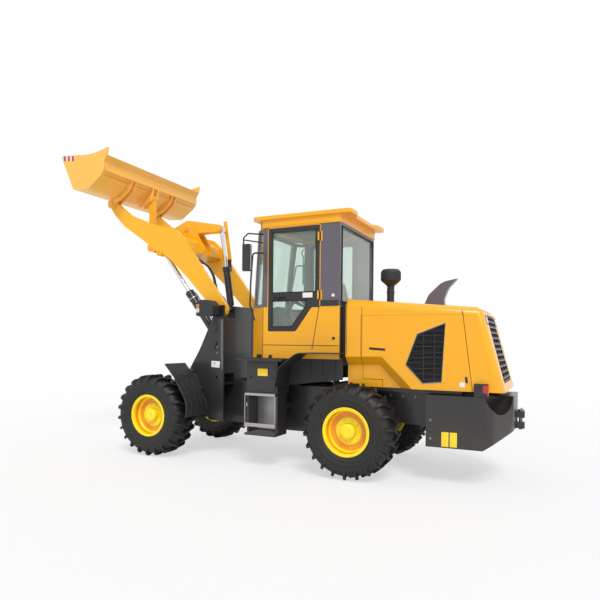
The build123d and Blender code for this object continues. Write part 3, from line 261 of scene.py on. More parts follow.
def build_weave_group():
    """Woven seat cloth: crossing threads with a slight colour shift."""
    group, start, end = new_group(
        "Cloth weave",
        [
            ("Thread", "NodeSocketColor", (0.03, 0.03, 0.035, 1)),
            ("Light thread", "NodeSocketColor", (0.1, 0.1, 0.11, 1)),
        ],
        [("Color", "NodeSocketColor"), ("Height", "NodeSocketFloat")],
    )
    link = group.links.new
    spot = add_node(group, "ShaderNodeTexCoord")
    waves = []
    for direction in ("X", "Y"):
        wave = add_node(group, "ShaderNodeTexWave", bands_direction=direction)
        wave.inputs["Scale"].default_value = 130.0
        wave.inputs["Distortion"].default_value = 0.6
        link(spot.outputs["Object"], wave.inputs["Vector"])
        waves.append(wave.outputs["Fac"])
    cross = maths(group, "MAXIMUM", waves[0], waves[1])
    threads = mix_colour(group, cross, start.outputs["Thread"], start.outputs["Light thread"])
    link(threads, end.inputs["Color"])
    link(cross, end.inputs["Height"])
    return group


# Materials


def start_material(name):
    material = bpy.data.materials.new(name)
    material.use_nodes = True
    shader = material.node_tree.nodes["Principled BSDF"]
    return material, material.node_tree, shader


def use_group(tree, shader, group, values, bump=0.1, distance=0.001):
    node = add_node(tree, "ShaderNodeGroup", node_tree=group)
    for key, value in values.items():
        node.inputs[key].default_value = value
    tree.links.new(node.outputs["Color"], shader.inputs["Base Color"])
    if "Roughness" in node.outputs:
        tree.links.new(node.outputs["Roughness"], shader.inputs["Roughness"])
    if bump:
        raised = add_node(tree, "ShaderNodeBump")
        raised.inputs["Strength"].default_value = bump
        raised.inputs["Distance"].default_value = distance
        tree.links.new(node.outputs["Height"], raised.inputs["Height"])
        tree.links.new(raised.outputs["Normal"], shader.inputs["Normal"])


def coat(
    name, colour, faded, rough=0.32, dust=0.25, dust_height=1.3, clear=0.35, metal=0.0, fade=0.45, bump=0.06
):
    """Sprayed paint or bare metal with fading, dust and a slight orange-peel surface."""
    material, tree, shader = start_material(name)
    values = {
        "Coat": colour,
        "Faded": faded,
        "Dust": tone(150, 136, 112),
        "Fade amount": fade,
        "Dust amount": dust,
        "Dust height": dust_height,
        "Roughness": rough,
    }
    use_group(tree, shader, bpy.data.node_groups["Weathered coat"], values, bump, 0.0006)
    shader.inputs["Metallic"].default_value = metal
    shader.inputs["Coat Weight"].default_value = clear
    shader.inputs["Coat Roughness"].default_value = 0.12
    return material


def moulded(name, colour, scuffed, rough=0.5, grain=300.0, scuff=0.5, bump=0.25, distance=0.001):
    material, tree, shader = start_material(name)
    values = {
        "Body": colour,
        "Scuffed": scuffed,
        "Scuff amount": scuff,
        "Grain size": grain,
        "Roughness": rough,
    }
    use_group(tree, shader, bpy.data.node_groups["Moulded grain"], values, bump, distance)
    return material


def glass(name, colour, clearness=0.9, rough=0.02):
    material, tree, shader = start_material(name)
    haze = place_noise(tree, 3.0, 2.0)
    light = tuple(min(1.0, c * 1.12) for c in colour[:3]) + (1.0,)
    tree.links.new(mix_colour(tree, haze.outputs["Fac"], colour, light), shader.inputs["Base Color"])
    shader.inputs["Transmission Weight"].default_value = clearness
    shader.inputs["Roughness"].default_value = rough
    shader.inputs["IOR"].default_value = 1.45
    return material


def lens(name, colour, ribs=90.0):
    """A moulded lamp lens with fine prisms behind a clear face."""
    material, tree, shader = start_material(name)
    wave = add_node(tree, "ShaderNodeTexWave", bands_direction="Z")
    wave.inputs["Scale"].default_value = ribs
    spot = add_node(tree, "ShaderNodeTexCoord")
    tree.links.new(spot.outputs["Object"], wave.inputs["Vector"])
    dark = tuple(c * 0.55 for c in colour[:3]) + (1.0,)
    tree.links.new(mix_colour(tree, wave.outputs["Fac"], dark, colour), shader.inputs["Base Color"])
    raised = add_node(tree, "ShaderNodeBump")
    raised.inputs["Strength"].default_value = 0.4
    raised.inputs["Distance"].default_value = 0.001
    tree.links.new(wave.outputs["Fac"], raised.inputs["Height"])
    tree.links.new(raised.outputs["Normal"], shader.inputs["Normal"])
    shader.inputs["Roughness"].default_value = 0.12
    shader.inputs["Coat Weight"].default_value = 0.8
    return material


def build_materials(colours):
    build_worn_group()
    build_grain_group()
    build_weave_group()
    body = tuple(colours.body_paint) + (1.0,)
    pale = tuple(colours.bucket_paint) + (1.0,)
    dark = tuple(colours.frame_paint) + (1.0,)
    pillar = tuple(colours.pillar_paint) + (1.0,)
    rim = tuple(colours.rim_paint) + (1.0,)
    arm = tuple(colours.boom_paint) + (1.0,)
    brighter = tone(252, 186, 26)
    made = {
        "body": coat("Body paint", body, brighter, 0.32, 0.05, 1.3, 0.25),
        "bucket": coat("Bucket paint", pale, tone(255, 206, 112), 0.42, 0.0, 1.0, 0.1),
        "boom": coat("Boom paint", arm, tone(250, 190, 34), 0.34, 0.0, 1.0, 0.25),
        "frame": coat("Frame paint", dark, tone(44, 44, 48), 0.34, 0.08, 1.4, 0.3),
        "casting": coat(
            "Painted casting", tone(27, 26, 28), tone(46, 44, 46), 0.4, 0.12, 1.2, 0.25, 0.0, 0.5, 0.2
        ),
        "pillar": coat("Pillar paint", pillar, tone(110, 104, 116), 0.34, 0.03, 1.0, 0.3),
        "rim": coat("Rim paint", rim, tone(255, 238, 44), 0.32, 0.0, 0.6, 0.3),
        "steel": coat("Grey steel", tone(150, 150, 156), tone(186, 186, 190), 0.34, 0.1, 1.0, 0.0, 1.0),
        "bolt": coat("Plated bolt", tone(120, 118, 116), tone(168, 164, 158), 0.4, 0.2, 1.2, 0.0, 1.0),
        "chrome": coat(
            "Chromed rod", tone(214, 216, 222), tone(232, 234, 238), 0.1, 0.0, 1.0, 0.0, 1.0, 0.3, 0.0
        ),
        "engine": coat(
            "Engine casting", tone(64, 64, 66), tone(92, 90, 88), 0.55, 0.4, 1.6, 0.0, 0.3, 0.6, 0.3
        ),
        "tyre": moulded("Tyre rubber", tone(19, 18, 18), tone(48, 45, 43), 0.46, 240.0, 0.5, 0.25, 0.001),
        # Deeper orange for the ring in each rim's dish: painted shade for the dish wall, not a second paint
        "rim_shade": coat("Rim dish painted shade", tone(238, 150, 16), tone(244, 168, 20), 0.4, 0.1, 0.6, 0.2),
        "rubber": moulded("Black rubber", tone(24, 24, 25), tone(58, 57, 56), 0.55, 500.0, 0.5),
        "plastic": moulded("Black plastic", tone(32, 32, 35), tone(74, 73, 76), 0.42, 420.0, 0.5),
        "mesh": moulded("Dark mesh", tone(20, 20, 22), tone(50, 50, 52), 0.5, 160.0, 0.5, 0.6, 0.003),
        "yellow_plate": coat("Plain yellow plate", tone(250, 214, 20), tone(255, 226, 60), 0.35, 0.0),
        "white_plate": coat("Plain white plate", tone(232, 232, 228), tone(246, 246, 242), 0.35, 0.05),
        "tread": coat(
            "Worn tread plate", tone(168, 166, 172), tone(204, 202, 208), 0.4, 0.3, 1.2, 0.0, 0.6
        ),
        "glass": glass("Cab glass", tone(228, 242, 234)),
        "clear": lens("Clear lens", tone(236, 238, 240)),
        "red": lens("Red lens", tone(206, 30, 24)),
        "amber": lens("Amber lens", tone(240, 140, 24)),
    }
    material, tree, shader = start_material("Woven cloth")
    values = {"Thread": tone(38, 38, 42), "Light thread": tone(74, 74, 80)}
    use_group(tree, shader, bpy.data.node_groups["Cloth weave"], values, 0.3, 0.0008)
    shader.inputs["Roughness"].default_value = 0.85
    shader.inputs["Sheen Weight"].default_value = 0.3
    made["cloth"] = material
    mirror, tree, shader = start_material("Mirror face")
    haze = place_noise(tree, 4.0)
    silver = mix_colour(tree, haze.outputs["Fac"], tone(210, 216, 220), tone(228, 232, 236))
    tree.links.new(silver, shader.inputs["Base Color"])
    shader.inputs["Metallic"].default_value = 1.0
    shader.inputs["Roughness"].default_value = 0.06
    made["mirror"] = mirror
    return made


MATERIALS = {}
NODE_FINISH = {
    "rear_frame": "frame",
    "rear_axle": "casting",
    "engine": "engine",
    "gearbox": "engine",
    "counterweight": "casting",
    "tow_pin": "bolt",
    "hood": "body",
    "rear_grille": "plastic",
    "precleaner": "plastic",
    "exhaust_stack": "pillar",
    "cab_base": "body",
    "cab_frame": "pillar",
    "cab_roof": "body",
    "cab_glass": "glass",
    "operator_seat": "plastic",
    "steering_console": "plastic",
    "steering_wheel": "rubber",
    "rear_fenders": "plastic",
    "step_boxes": "frame",
    "mirrors": "plastic",
    "grab_handles": "frame",
    "roof_lamps": "plastic",
    "tail_lamps": "plastic",
    "cab_door_left": "plastic",
    "cab_door_right": "plastic",
    "door_glass_left": "glass",
    "door_glass_right": "glass",
    "engine_door_left": "body",
    "engine_door_right": "body",
    "front_frame": "frame",
    "front_axle": "casting",
    "front_drive_shaft": "steel",
    "front_fenders": "plastic",
    "headlamps": "plastic",
    "boom": "boom",
    "bellcrank": "boom",
    "tilt_link": "boom",
    "bucket": "bucket",
    "lift_cylinder_left": "frame",
    "lift_cylinder_right": "frame",
    "lift_rod_left": "chrome",
    "lift_rod_right": "chrome",
    "tilt_cylinder": "frame",
    "tilt_rod": "chrome",
    "steering_cylinder_left": "frame",
    "steering_cylinder_right": "frame",
    "steering_rod_left": "chrome",
    "steering_rod_right": "chrome",
}
for place in WHEELS:
    NODE_FINISH["wheel_" + place] = "rim"
SOFTENED = {
    "hood": 5, "engine_door_left": 4, "engine_door_right": 4, "cab_base": 6, "cab_frame": 3, "cab_roof": 10,
    "cab_door_left": 3, "cab_door_right": 3, "counterweight": 12, "step_boxes": 3, "front_frame": 3,
    "rear_frame": 3, "boom": 4, "bellcrank": 3, "bucket": 4, "headlamps": 8, "roof_lamps": 8, "tail_lamps": 5,
    "tilt_link": 3, "front_fenders": 2, "rear_fenders": 2,
}


# Mesh building


class Form:
    """Collects closed shapes in one mesh and turns them into a piece on a body."""

    def __init__(self):
        self.mesh = bmesh.new()

    def prism(self, points, low, high, axis="y"):
        """A flat outline given a thickness along one axis; points are in millimetres."""
        rows = []
        for value in (low, high):
            row = []
            for first, second in points:
                spots = {
                    "x": (value, first, second),
                    "y": (first, value, second),
                    "z": (first, second, value),
                }
                row.append(self.mesh.verts.new(at(*spots[axis])))
            rows.append(row)
        count = len(points)
        faces = [rows[0], list(reversed(rows[1]))]
        for index in range(count):
            after = (index + 1) % count
            faces.append([rows[0][after], rows[0][index], rows[1][index], rows[1][after]])
        for face in faces:
            self.mesh.faces.new(face)
        return self

    def box(self, x, y, z):
        """A plain block between two values of x, of y and of z."""
        return self.prism([(x[0], z[0]), (x[1], z[0]), (x[1], z[1]), (x[0], z[1])], y[0], y[1])

    def lathe(self, profile, centre, direction, steps=32):
        """A closed profile of (radius, along) turned about an axis through a centre."""
        turn = Vector(direction).normalized()
        side = turn.orthogonal().normalized()
        other = turn.cross(side)
        origin = at(*centre)
        rings = []
        for step in range(steps):
            angle = 2 * math.pi * step / steps
            out = side * math.cos(angle) + other * math.sin(angle)
            rings.append([self.mesh.verts.new(origin + out * r / 1000 + turn * a / 1000) for r, a in profile])
        count = len(profile)
        for step in range(steps):
            ring, following = rings[step], rings[(step + 1) % steps]
            for index in range(count):
                after = (index + 1) % count
                corners = [ring[index], ring[after], following[after], following[index]]
                self.mesh.faces.new(corners)
        return self

    def disc(self, centre, direction, radius, height, steps=24, crown=0.0):
        """A short solid cylinder, with its top edge crowned."""
        soft = min(height * 0.3, radius * 0.2)
        profile = [
            (0.01, 0),
            (radius, 0),
            (radius, height - soft),
            (radius - soft, height + crown * 0.4),
            (0.01, height + crown),
        ]
        return self.lathe(profile, centre, direction, steps)

    def bolt(self, centre, direction, size):
        """A hexagon head on a washer."""
        self.disc(centre, direction, size * 1.1, size * 0.22, 16)
        turn = Vector(direction).normalized()
        raised = tuple(place + step * size * 0.2 for place, step in zip(centre, turn))
        return self.disc(raised, direction, size * 0.85, size * 0.62, 6)

    def tube(self, points, radius, sides=10, rounds=2):
        """A round tube along a smooth line through points in millimetres."""
        line = smooth_line([at(*p) for p in points], rounds)
        rings = []
        up = Vector((0.0123, 0.0321, 1.0)).normalized()
        for index, spot in enumerate(line):
            ahead = line[min(index + 1, len(line) - 1)] - line[max(index - 1, 0)]
            ahead.normalize()
            if abs(ahead.dot(up)) > 0.95:
                up = ahead.orthogonal().normalized()
            side = ahead.cross(up).normalized()
            up = side.cross(ahead).normalized()
            ring = []
            for step in range(sides):
                angle = 2 * math.pi * step / sides
                out = side * math.cos(angle) + up * math.sin(angle)
                ring.append(self.mesh.verts.new(spot + out * radius / 1000))
            rings.append(ring)
        for first, second in zip(rings, rings[1:]):
            for step in range(sides):
                after = (step + 1) % sides
                self.mesh.faces.new([first[step], first[after], second[after], second[step]])
        self.mesh.faces.new(rings[0])
        self.mesh.faces.new(list(reversed(rings[-1])))
        return self

    def mirrored(self):
        """Adds the same shapes on the other side of the machine."""
        whole = self.mesh.verts[:] + self.mesh.edges[:] + self.mesh.faces[:]
        copy = bmesh.ops.duplicate(self.mesh, geom=whole)
        verts = [item for item in copy["geom"] if isinstance(item, bmesh.types.BMVert)]
        for vert in verts:
            vert.co.y = -vert.co.y
        return self

    def finish(self, name, finish, body, soften=0.0, slot=None):
        """Makes the object, softens its sharp edges and rides it on a body."""
        bmesh.ops.recalc_face_normals(self.mesh, faces=self.mesh.faces)
        if soften:
            sharp = [e for e in self.mesh.edges if len(e.link_faces) == 2 and e.calc_face_angle(0) > 0.6]
            bmesh.ops.bevel(
                self.mesh,
                geom=sharp,
                offset=soften / 1000,
                segments=2,
                affect="EDGES",
                clamp_overlap=True,
                profile=0.6,
            )
        data = bpy.data.meshes.new(name)
        self.mesh.to_mesh(data)
        self.mesh.free()
        data.polygons.foreach_set("use_smooth", [True] * len(data.polygons))
        data.set_sharp_from_angle(angle=math.radians(38))
        data.materials.append(MATERIALS[finish])
        piece = bpy.data.objects.new(name, data)
        bpy.context.scene.collection.objects.link(piece)
        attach(piece, body)
        return piece


def smooth_line(points, rounds):
    """Points along a line that rounds its corners, by corner cutting."""
    line = points
    for _ in range(rounds):
        if len(line) < 3:
            break
        cut = [line[0]]
        for first, second in zip(line, line[1:]):
            cut.append(first.lerp(second, 0.22))
            cut.append(first.lerp(second, 0.78))
        cut.append(line[-1])
        line = cut
    return line


# Sizes and colours that a user would change


class LoaderColours(bpy.types.PropertyGroup):
    body_paint: bpy.props.FloatVectorProperty(
        name="Body paint",
        description="Hood, cab base and roof",
        subtype="COLOR",
        default=tone(246, 171, 8)[:3],
    )
    bucket_paint: bpy.props.FloatVectorProperty(
        name="Bucket paint",
        description="Bucket shell and sides",
        subtype="COLOR",
        default=tone(252, 188, 76)[:3],
    )
    boom_paint: bpy.props.FloatVectorProperty(
        name="Boom paint",
        description="Boom, bellcrank and link",
        subtype="COLOR",
        default=tone(250, 180, 14)[:3],
    )
    frame_paint: bpy.props.FloatVectorProperty(
        name="Frame paint",
        description="Both frames and the steps",
        subtype="COLOR",
        default=tone(24, 24, 27)[:3],
    )
    pillar_paint: bpy.props.FloatVectorProperty(
        name="Pillar paint",
        description="Cab pillars and exhaust",
        subtype="COLOR",
        default=tone(88, 81, 92)[:3],
    )
    rim_paint: bpy.props.FloatVectorProperty(
        name="Rim paint",
        description="Wheel rims and hubs",
        subtype="COLOR",
        default=tone(252, 224, 8)[:3],
    )


class LoaderTyres(bpy.types.PropertyGroup):
    lug_count: bpy.props.IntProperty(
        name="Lugs", description="Lugs on each half of a tyre", default=22, min=12, max=40
    )
    lug_height: bpy.props.FloatProperty(
        name="Lug height", description="Depth of the tread", default=0.034, min=0.005, max=0.05, unit="LENGTH"
    )


class LoaderStage(bpy.types.PropertyGroup):
    key_power: bpy.props.FloatProperty(
        name="Key light", description="Strength of the sun lamp", default=2.05, min=0.0
    )
    sky_level: bpy.props.FloatProperty(
        name="Sky level", description="Strength of the light all round", default=0.55, min=0.0
    )


# Operators


class LOADER_OT_stage(bpy.types.Operator):
    """Floor, sky, lamps and the camera at the photograph's place"""

    bl_idname = "loader.stage"
    bl_label = "Stage"

    def execute(self, context):
        scene = context.scene
        settings = scene.loader_stage
        scene.view_settings.view_transform = "Standard"
        self.add_camera(scene)
        self.add_floor()
        self.add_sky(scene, settings.sky_level)
        sun = bpy.data.lights.new("key_sun", "SUN")
        sun.energy = settings.key_power
        sun.angle = math.radians(24)
        lamp = bpy.data.objects.new("key_sun", sun)
        lamp.rotation_euler = Vector((0.55, -0.75, -1.1)).to_track_quat("-Z", "Y").to_euler()
        scene.collection.objects.link(lamp)
        return {"FINISHED"}

    def add_camera(self, scene):
        data = bpy.data.cameras.new("photo_camera")
        data.lens = FOCAL / PICTURE * SENSOR
        data.sensor_width = SENSOR
        data.shift_x = -(PICTURE_MIDDLE[0] - PICTURE / 2) / PICTURE
        data.shift_y = (PICTURE_MIDDLE[1] - PICTURE / 2) / PICTURE
        camera = bpy.data.objects.new("photo_camera", data)
        ahead = Vector((0.42498547, -0.90518965, -0.00436331))
        right = Vector((-0.90513503, -0.42500778, 0.00994812))
        above = Vector((0.0108593738, 0.000278421534, 0.999940997))
        turn = Matrix((right, above, -ahead)).transposed().to_4x4()
        camera.matrix_world = Matrix.Translation(at(-2148, 6519, 1531)) @ turn
        scene.collection.objects.link(camera)
        scene.camera = camera

    def add_floor(self):
        mesh = bmesh.new()
        corners = [mesh.verts.new((x, y, -0.002)) for x, y in ((-60, -60), (60, -60), (60, 60), (-60, 60))]
        mesh.faces.new(corners)
        data = bpy.data.meshes.new("floor")
        mesh.to_mesh(data)
        mesh.free()
        floor = bpy.data.objects.new("floor", data)
        bpy.context.scene.collection.objects.link(floor)
        material, tree, shader = start_material("Pale floor")
        cloud = place_noise(tree, 0.6)
        pale = mix_colour(tree, cloud.outputs["Fac"], (0.86, 0.86, 0.86, 1), (0.9, 0.9, 0.9, 1))
        tree.links.new(pale, shader.inputs["Base Color"])
        shader.inputs["Roughness"].default_value = 0.9
        glow = add_node(tree, "ShaderNodeEmission")
        glow.inputs["Strength"].default_value = 1.0
        rays = add_node(tree, "ShaderNodeLightPath")
        spot = add_node(tree, "ShaderNodeTexCoord")
        reach = add_node(tree, "ShaderNodeVectorMath", operation="LENGTH")
        tree.links.new(spot.outputs["Object"], reach.inputs[0])
        far = maths(tree, "SUBTRACT", reach.outputs["Value"], 4.0)
        far = maths(tree, "DIVIDE", far, 9.0, True)
        far = maths(tree, "ADD", maths(tree, "MULTIPLY", far, 0.42), 0.58)
        seen = maths(tree, "MULTIPLY", rays.outputs["Is Camera Ray"], far)
        mixed = add_node(tree, "ShaderNodeMixShader")
        tree.links.new(seen, mixed.inputs[0])
        tree.links.new(shader.outputs[0], mixed.inputs[1])
        tree.links.new(glow.outputs[0], mixed.inputs[2])
        tree.links.new(mixed.outputs[0], tree.nodes["Material Output"].inputs["Surface"])
        data.materials.append(material)

    def add_sky(self, scene, level):
        world = bpy.data.worlds.new("pale_sky")
        world.use_nodes = True
        tree = world.node_tree
        lit = tree.nodes["Background"]
        lit.inputs["Color"].default_value = (1, 1, 1, 1)
        lit.inputs["Strength"].default_value = level
        white = add_node(tree, "ShaderNodeBackground")
        white.inputs["Color"].default_value = (1, 1, 1, 1)
        white.inputs["Strength"].default_value = 1.0
        rays = add_node(tree, "ShaderNodeLightPath")
        seen = maths(tree, "MAXIMUM", rays.outputs["Is Camera Ray"], rays.outputs["Is Transmission Ray"])
        seen = maths(tree, "MAXIMUM", seen, rays.outputs["Is Glossy Ray"])
        mixed = add_node(tree, "ShaderNodeMixShader")
        tree.links.new(seen, mixed.inputs[0])
        tree.links.new(lit.outputs[0], mixed.inputs[1])
        tree.links.new(white.outputs[0], mixed.inputs[2])
        tree.links.new(mixed.outputs[0], tree.nodes["World Output"].inputs["Surface"])
        scene.world = world


class LOADER_OT_paint(bpy.types.Operator):
    """Every finish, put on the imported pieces, with their sharp edges softened"""

    bl_idname = "loader.paint"
    bl_label = "Paint"

    def execute(self, context):
        MATERIALS.update(build_materials(context.scene.loader_colours))
        for node, finish in NODE_FINISH.items():
            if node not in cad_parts:
                continue
            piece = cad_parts[node]
            piece.data.materials.clear()
            piece.data.materials.append(MATERIALS[finish])
            if node in SOFTENED:
                self.soften(piece, SOFTENED[node] / 1000)
        return {"FINISHED"}

    def soften(self, piece, width):
        joined = piece.modifiers.new("joined", "WELD")
        joined.merge_threshold = 0.00002
        edge = piece.modifiers.new("soft edges", "BEVEL")
        edge.width = width
        edge.segments = 2
        edge.limit_method = "ANGLE"
        edge.angle_limit = math.radians(40)
        edge.use_clamp_overlap = True
        edge.harden_normals = True


class LOADER_OT_tyres(bpy.types.Operator):
    """Four tyres with bars across the tread and ribs on the side walls"""

    bl_idname = "loader.tyres"
    bl_label = "Tyres"

    def execute(self, context):
        settings = context.scene.loader_tyres
        for place, (x, side, body) in WHEELS.items():
            form = Form()
            self.carcass(form, x, side, settings.lug_height * 1000)
            self.lugs(form, x, side, settings.lug_count, settings.lug_height * 1000)
            piece = form.finish("tyre_" + place + "_tread", "tyre", body, 0, "tyre")
            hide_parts("tyre_" + place)
        return {"FINISHED"}

    def carcass(self, form, x, side, depth):
        floor = TYRE_RADIUS - depth
        half = [
            (floor, 0), (floor - 2, 90), (floor - 10, 150), (floor - 34, 184), (floor - 70, 198),
            (400, 204), (392, 200), (384, 204.5), (345, 201), (338, 196), (330, 198),
            (300, 186), (286, 178), (270, 170),
            (BEAD_RADIUS, BEAD_HALF),
        ]
        profile = [(r, -y) for r, y in reversed(half[1:])] + half
        form.lathe(profile, (x, side * HALF_TRACK, AXLE_HEIGHT), (0, 1, 0), 96)

    def lugs(self, form, x, side, count, depth):
        """Bars that start past the centre line, bend and run over the shoulder."""
        stations = [
            (-14, -0.004, 0, 0.052), (40, 0.03, 0, 0.056), (100, 0.085, 0, 0.06), (150, 0.115, -3, 0.064),
            (184, 0.125, -22, 0.066), (201, 0.13, -62, 0.06), (204, 0.13, -100, 0.05),
        ]
        floors = [depth, depth, depth + 1, depth + 7, depth + 26, depth + 58, depth + 92]
        for index in range(2 * count):
            hand = 1 if index % 2 else -1
            start = math.pi * index / count
            rings = []
            for (y, turn, drop, width), floor in zip(stations, floors):
                top = TYRE_RADIUS + drop
                low = TYRE_RADIUS - floor - 5
                if y > 200:
                    low = top - 12
                ring = []
                for radius, spread in ((low, 1.22), (top, 0.86), (top, -0.86), (low, -1.22)):
                    angle = start + side * turn + spread * width / 2
                    offset = hand * (y if radius == top else min(y, 196))
                    ahead = x + radius * math.sin(angle)
                    above = AXLE_HEIGHT + radius * math.cos(angle)
                    ring.append(form.mesh.verts.new(at(ahead, side * HALF_TRACK + offset, above)))
                rings.append(ring)
            for first, second in zip(rings, rings[1:]):
                for corner in range(4):
                    after = (corner + 1) % 4
                    form.mesh.faces.new([first[corner], first[after], second[after], second[corner]])
            form.mesh.faces.new(rings[0])
            form.mesh.faces.new(list(reversed(rings[-1])))


class LOADER_OT_wheels(bpy.types.Operator):
    """Wheel nuts, lock rings and hub bolts"""

    bl_idname = "loader.wheels"
    bl_label = "Wheels"

    def execute(self, context):
        for place, (x, side, body) in WHEELS.items():
            face = side * (HALF_TRACK + 60)
            form = Form()
            for index in range(10):
                angle = 2 * math.pi * (index + 0.5) / 10
                ahead = x + NUT_CIRCLE * math.sin(angle)
                above = AXLE_HEIGHT + NUT_CIRCLE * math.cos(angle)
                form.bolt((ahead, face + side * 15, above), (0, side, 0), 12)
            end = side * (HALF_TRACK + 144)
            for index in range(6):
                angle = 2 * math.pi * index / 6
                spot = (x + HUB_CIRCLE * math.sin(angle), end, AXLE_HEIGHT + HUB_CIRCLE * math.cos(angle))
                form.bolt(spot, (0, side, 0), 7)
            form.finish("wheel_nuts_" + place, "rim", body, 0)
            ring = Form()
            profile = [(262, 176), (276, 176), (277, 180), (270, 184), (262, 183)]
            middle = (x, side * HALF_TRACK, AXLE_HEIGHT)
            ring.lathe(profile, middle, (0, side, 0), 72)
            ring.finish("lock_ring_" + place, "rim", body, 0)
            plate = Form()
            plate.lathe([(90, 60.5), (158, 60.5), (158, 68), (150, 76), (90, 76)], middle, (0, side, 0), 72)
            plate.finish("hub_plate_" + place, "rim", body, 0)
            # A deeper orange ring in the dish between hub plate and rim: painted shade standing in for the
            # dish wall's self-shadow
            dish = Form()
            profile = [
                (164, 60.5), (236, 60.5), (240, 66), (240, 140), (238, 140), (236, 68), (230, 64), (164, 64),
            ]
            dish.lathe(profile, middle, (0, side, 0), 72)
            dish.finish("rim_dish_painted_shade_" + place, "rim_shade", body, 0)
        return {"FINISHED"}


class LOADER_OT_seat(bpy.types.Operator):
    """Driver's seat cushions with channels and piping, arm rests and levers"""

    bl_idname = "loader.seat"
    bl_label = "Seat"

    def execute(self, context):
        form = Form()
        self.pad(form, (655, 0, 1742), (215, 225, 50), 0, 16)
        self.pad(form, (452, 0, 2060), (255, 222, 42), math.radians(-76), 16)
        piece = form.finish("cushion_pads", "cloth", "rear_body", 0)
        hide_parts("seat_cushion")
        trim = Form()
        for side in (-1, 1):
            trim.box((520, 800), (side * 262 - 22, side * 262 + 22), (1900, 1932))
            trim.box((560, 600), (side * 262 - 12, side * 262 + 12), (1660, 1902))
        trim.finish("arm_rests", "rubber", "rear_body", 8)
        levers = Form()
        for y in (-330, -370):
            levers.tube([(820, y, 1420), (820, y, 1800), (850, y, 1930)], 7)
            levers.disc((850, y, 1925), (0.1, 0, 1), 18, 44, 16, 6)
        levers.box((760, 900), (-400, -300), (1372, 1560))
        levers.finish("control_levers", "plastic", "rear_body", 4)
        return {"FINISHED"}

    def pad(self, form, centre, half, lean, crown):
        """One stuffed pad: rounded, crowned, sides drawn in, with sewn channels across."""
        steps = 22
        added = bmesh.ops.create_cube(form.mesh, size=2)
        edges = {e for v in added["verts"] for e in v.link_edges}
        bmesh.ops.subdivide_edges(form.mesh, edges=list(edges), cuts=steps, use_grid_fill=True)
        turn = Matrix.Rotation(lean, 3, "Y")
        middle = at(*centre)
        fresh = [v for v in form.mesh.verts if not v.tag]
        for vert in fresh:
            vert.tag = True
            u, v, w = vert.co
            point = Vector((u * half[0], v * half[1], w * half[2]))
            bend = min(half) * 0.7
            core = Vector([max(-(h - bend), min(h - bend, c)) for c, h in zip(point, half)])
            away = point - core
            if away.length > 0.001:
                point = core + away.normalized() * min(away.length, bend)
            if w > 0.2:
                bulge = (1 - u * u) * (1 - v * v)
                channel = sum(math.exp(-(((point.x - c) / 9) ** 2)) for c in (-110, -40, 40, 110))
                side_seam = sum(math.exp(-(((point.y - c) / 9) ** 2)) for c in (-150, 150))
                point.z += crown * bulge - 7 * min(1.0, channel + side_seam) * (w - 0.2) / 0.8
            waist = 1 - 0.03 * (1 - w * w)
            point.y *= waist
            vert.co = middle + (turn @ point) / 1000


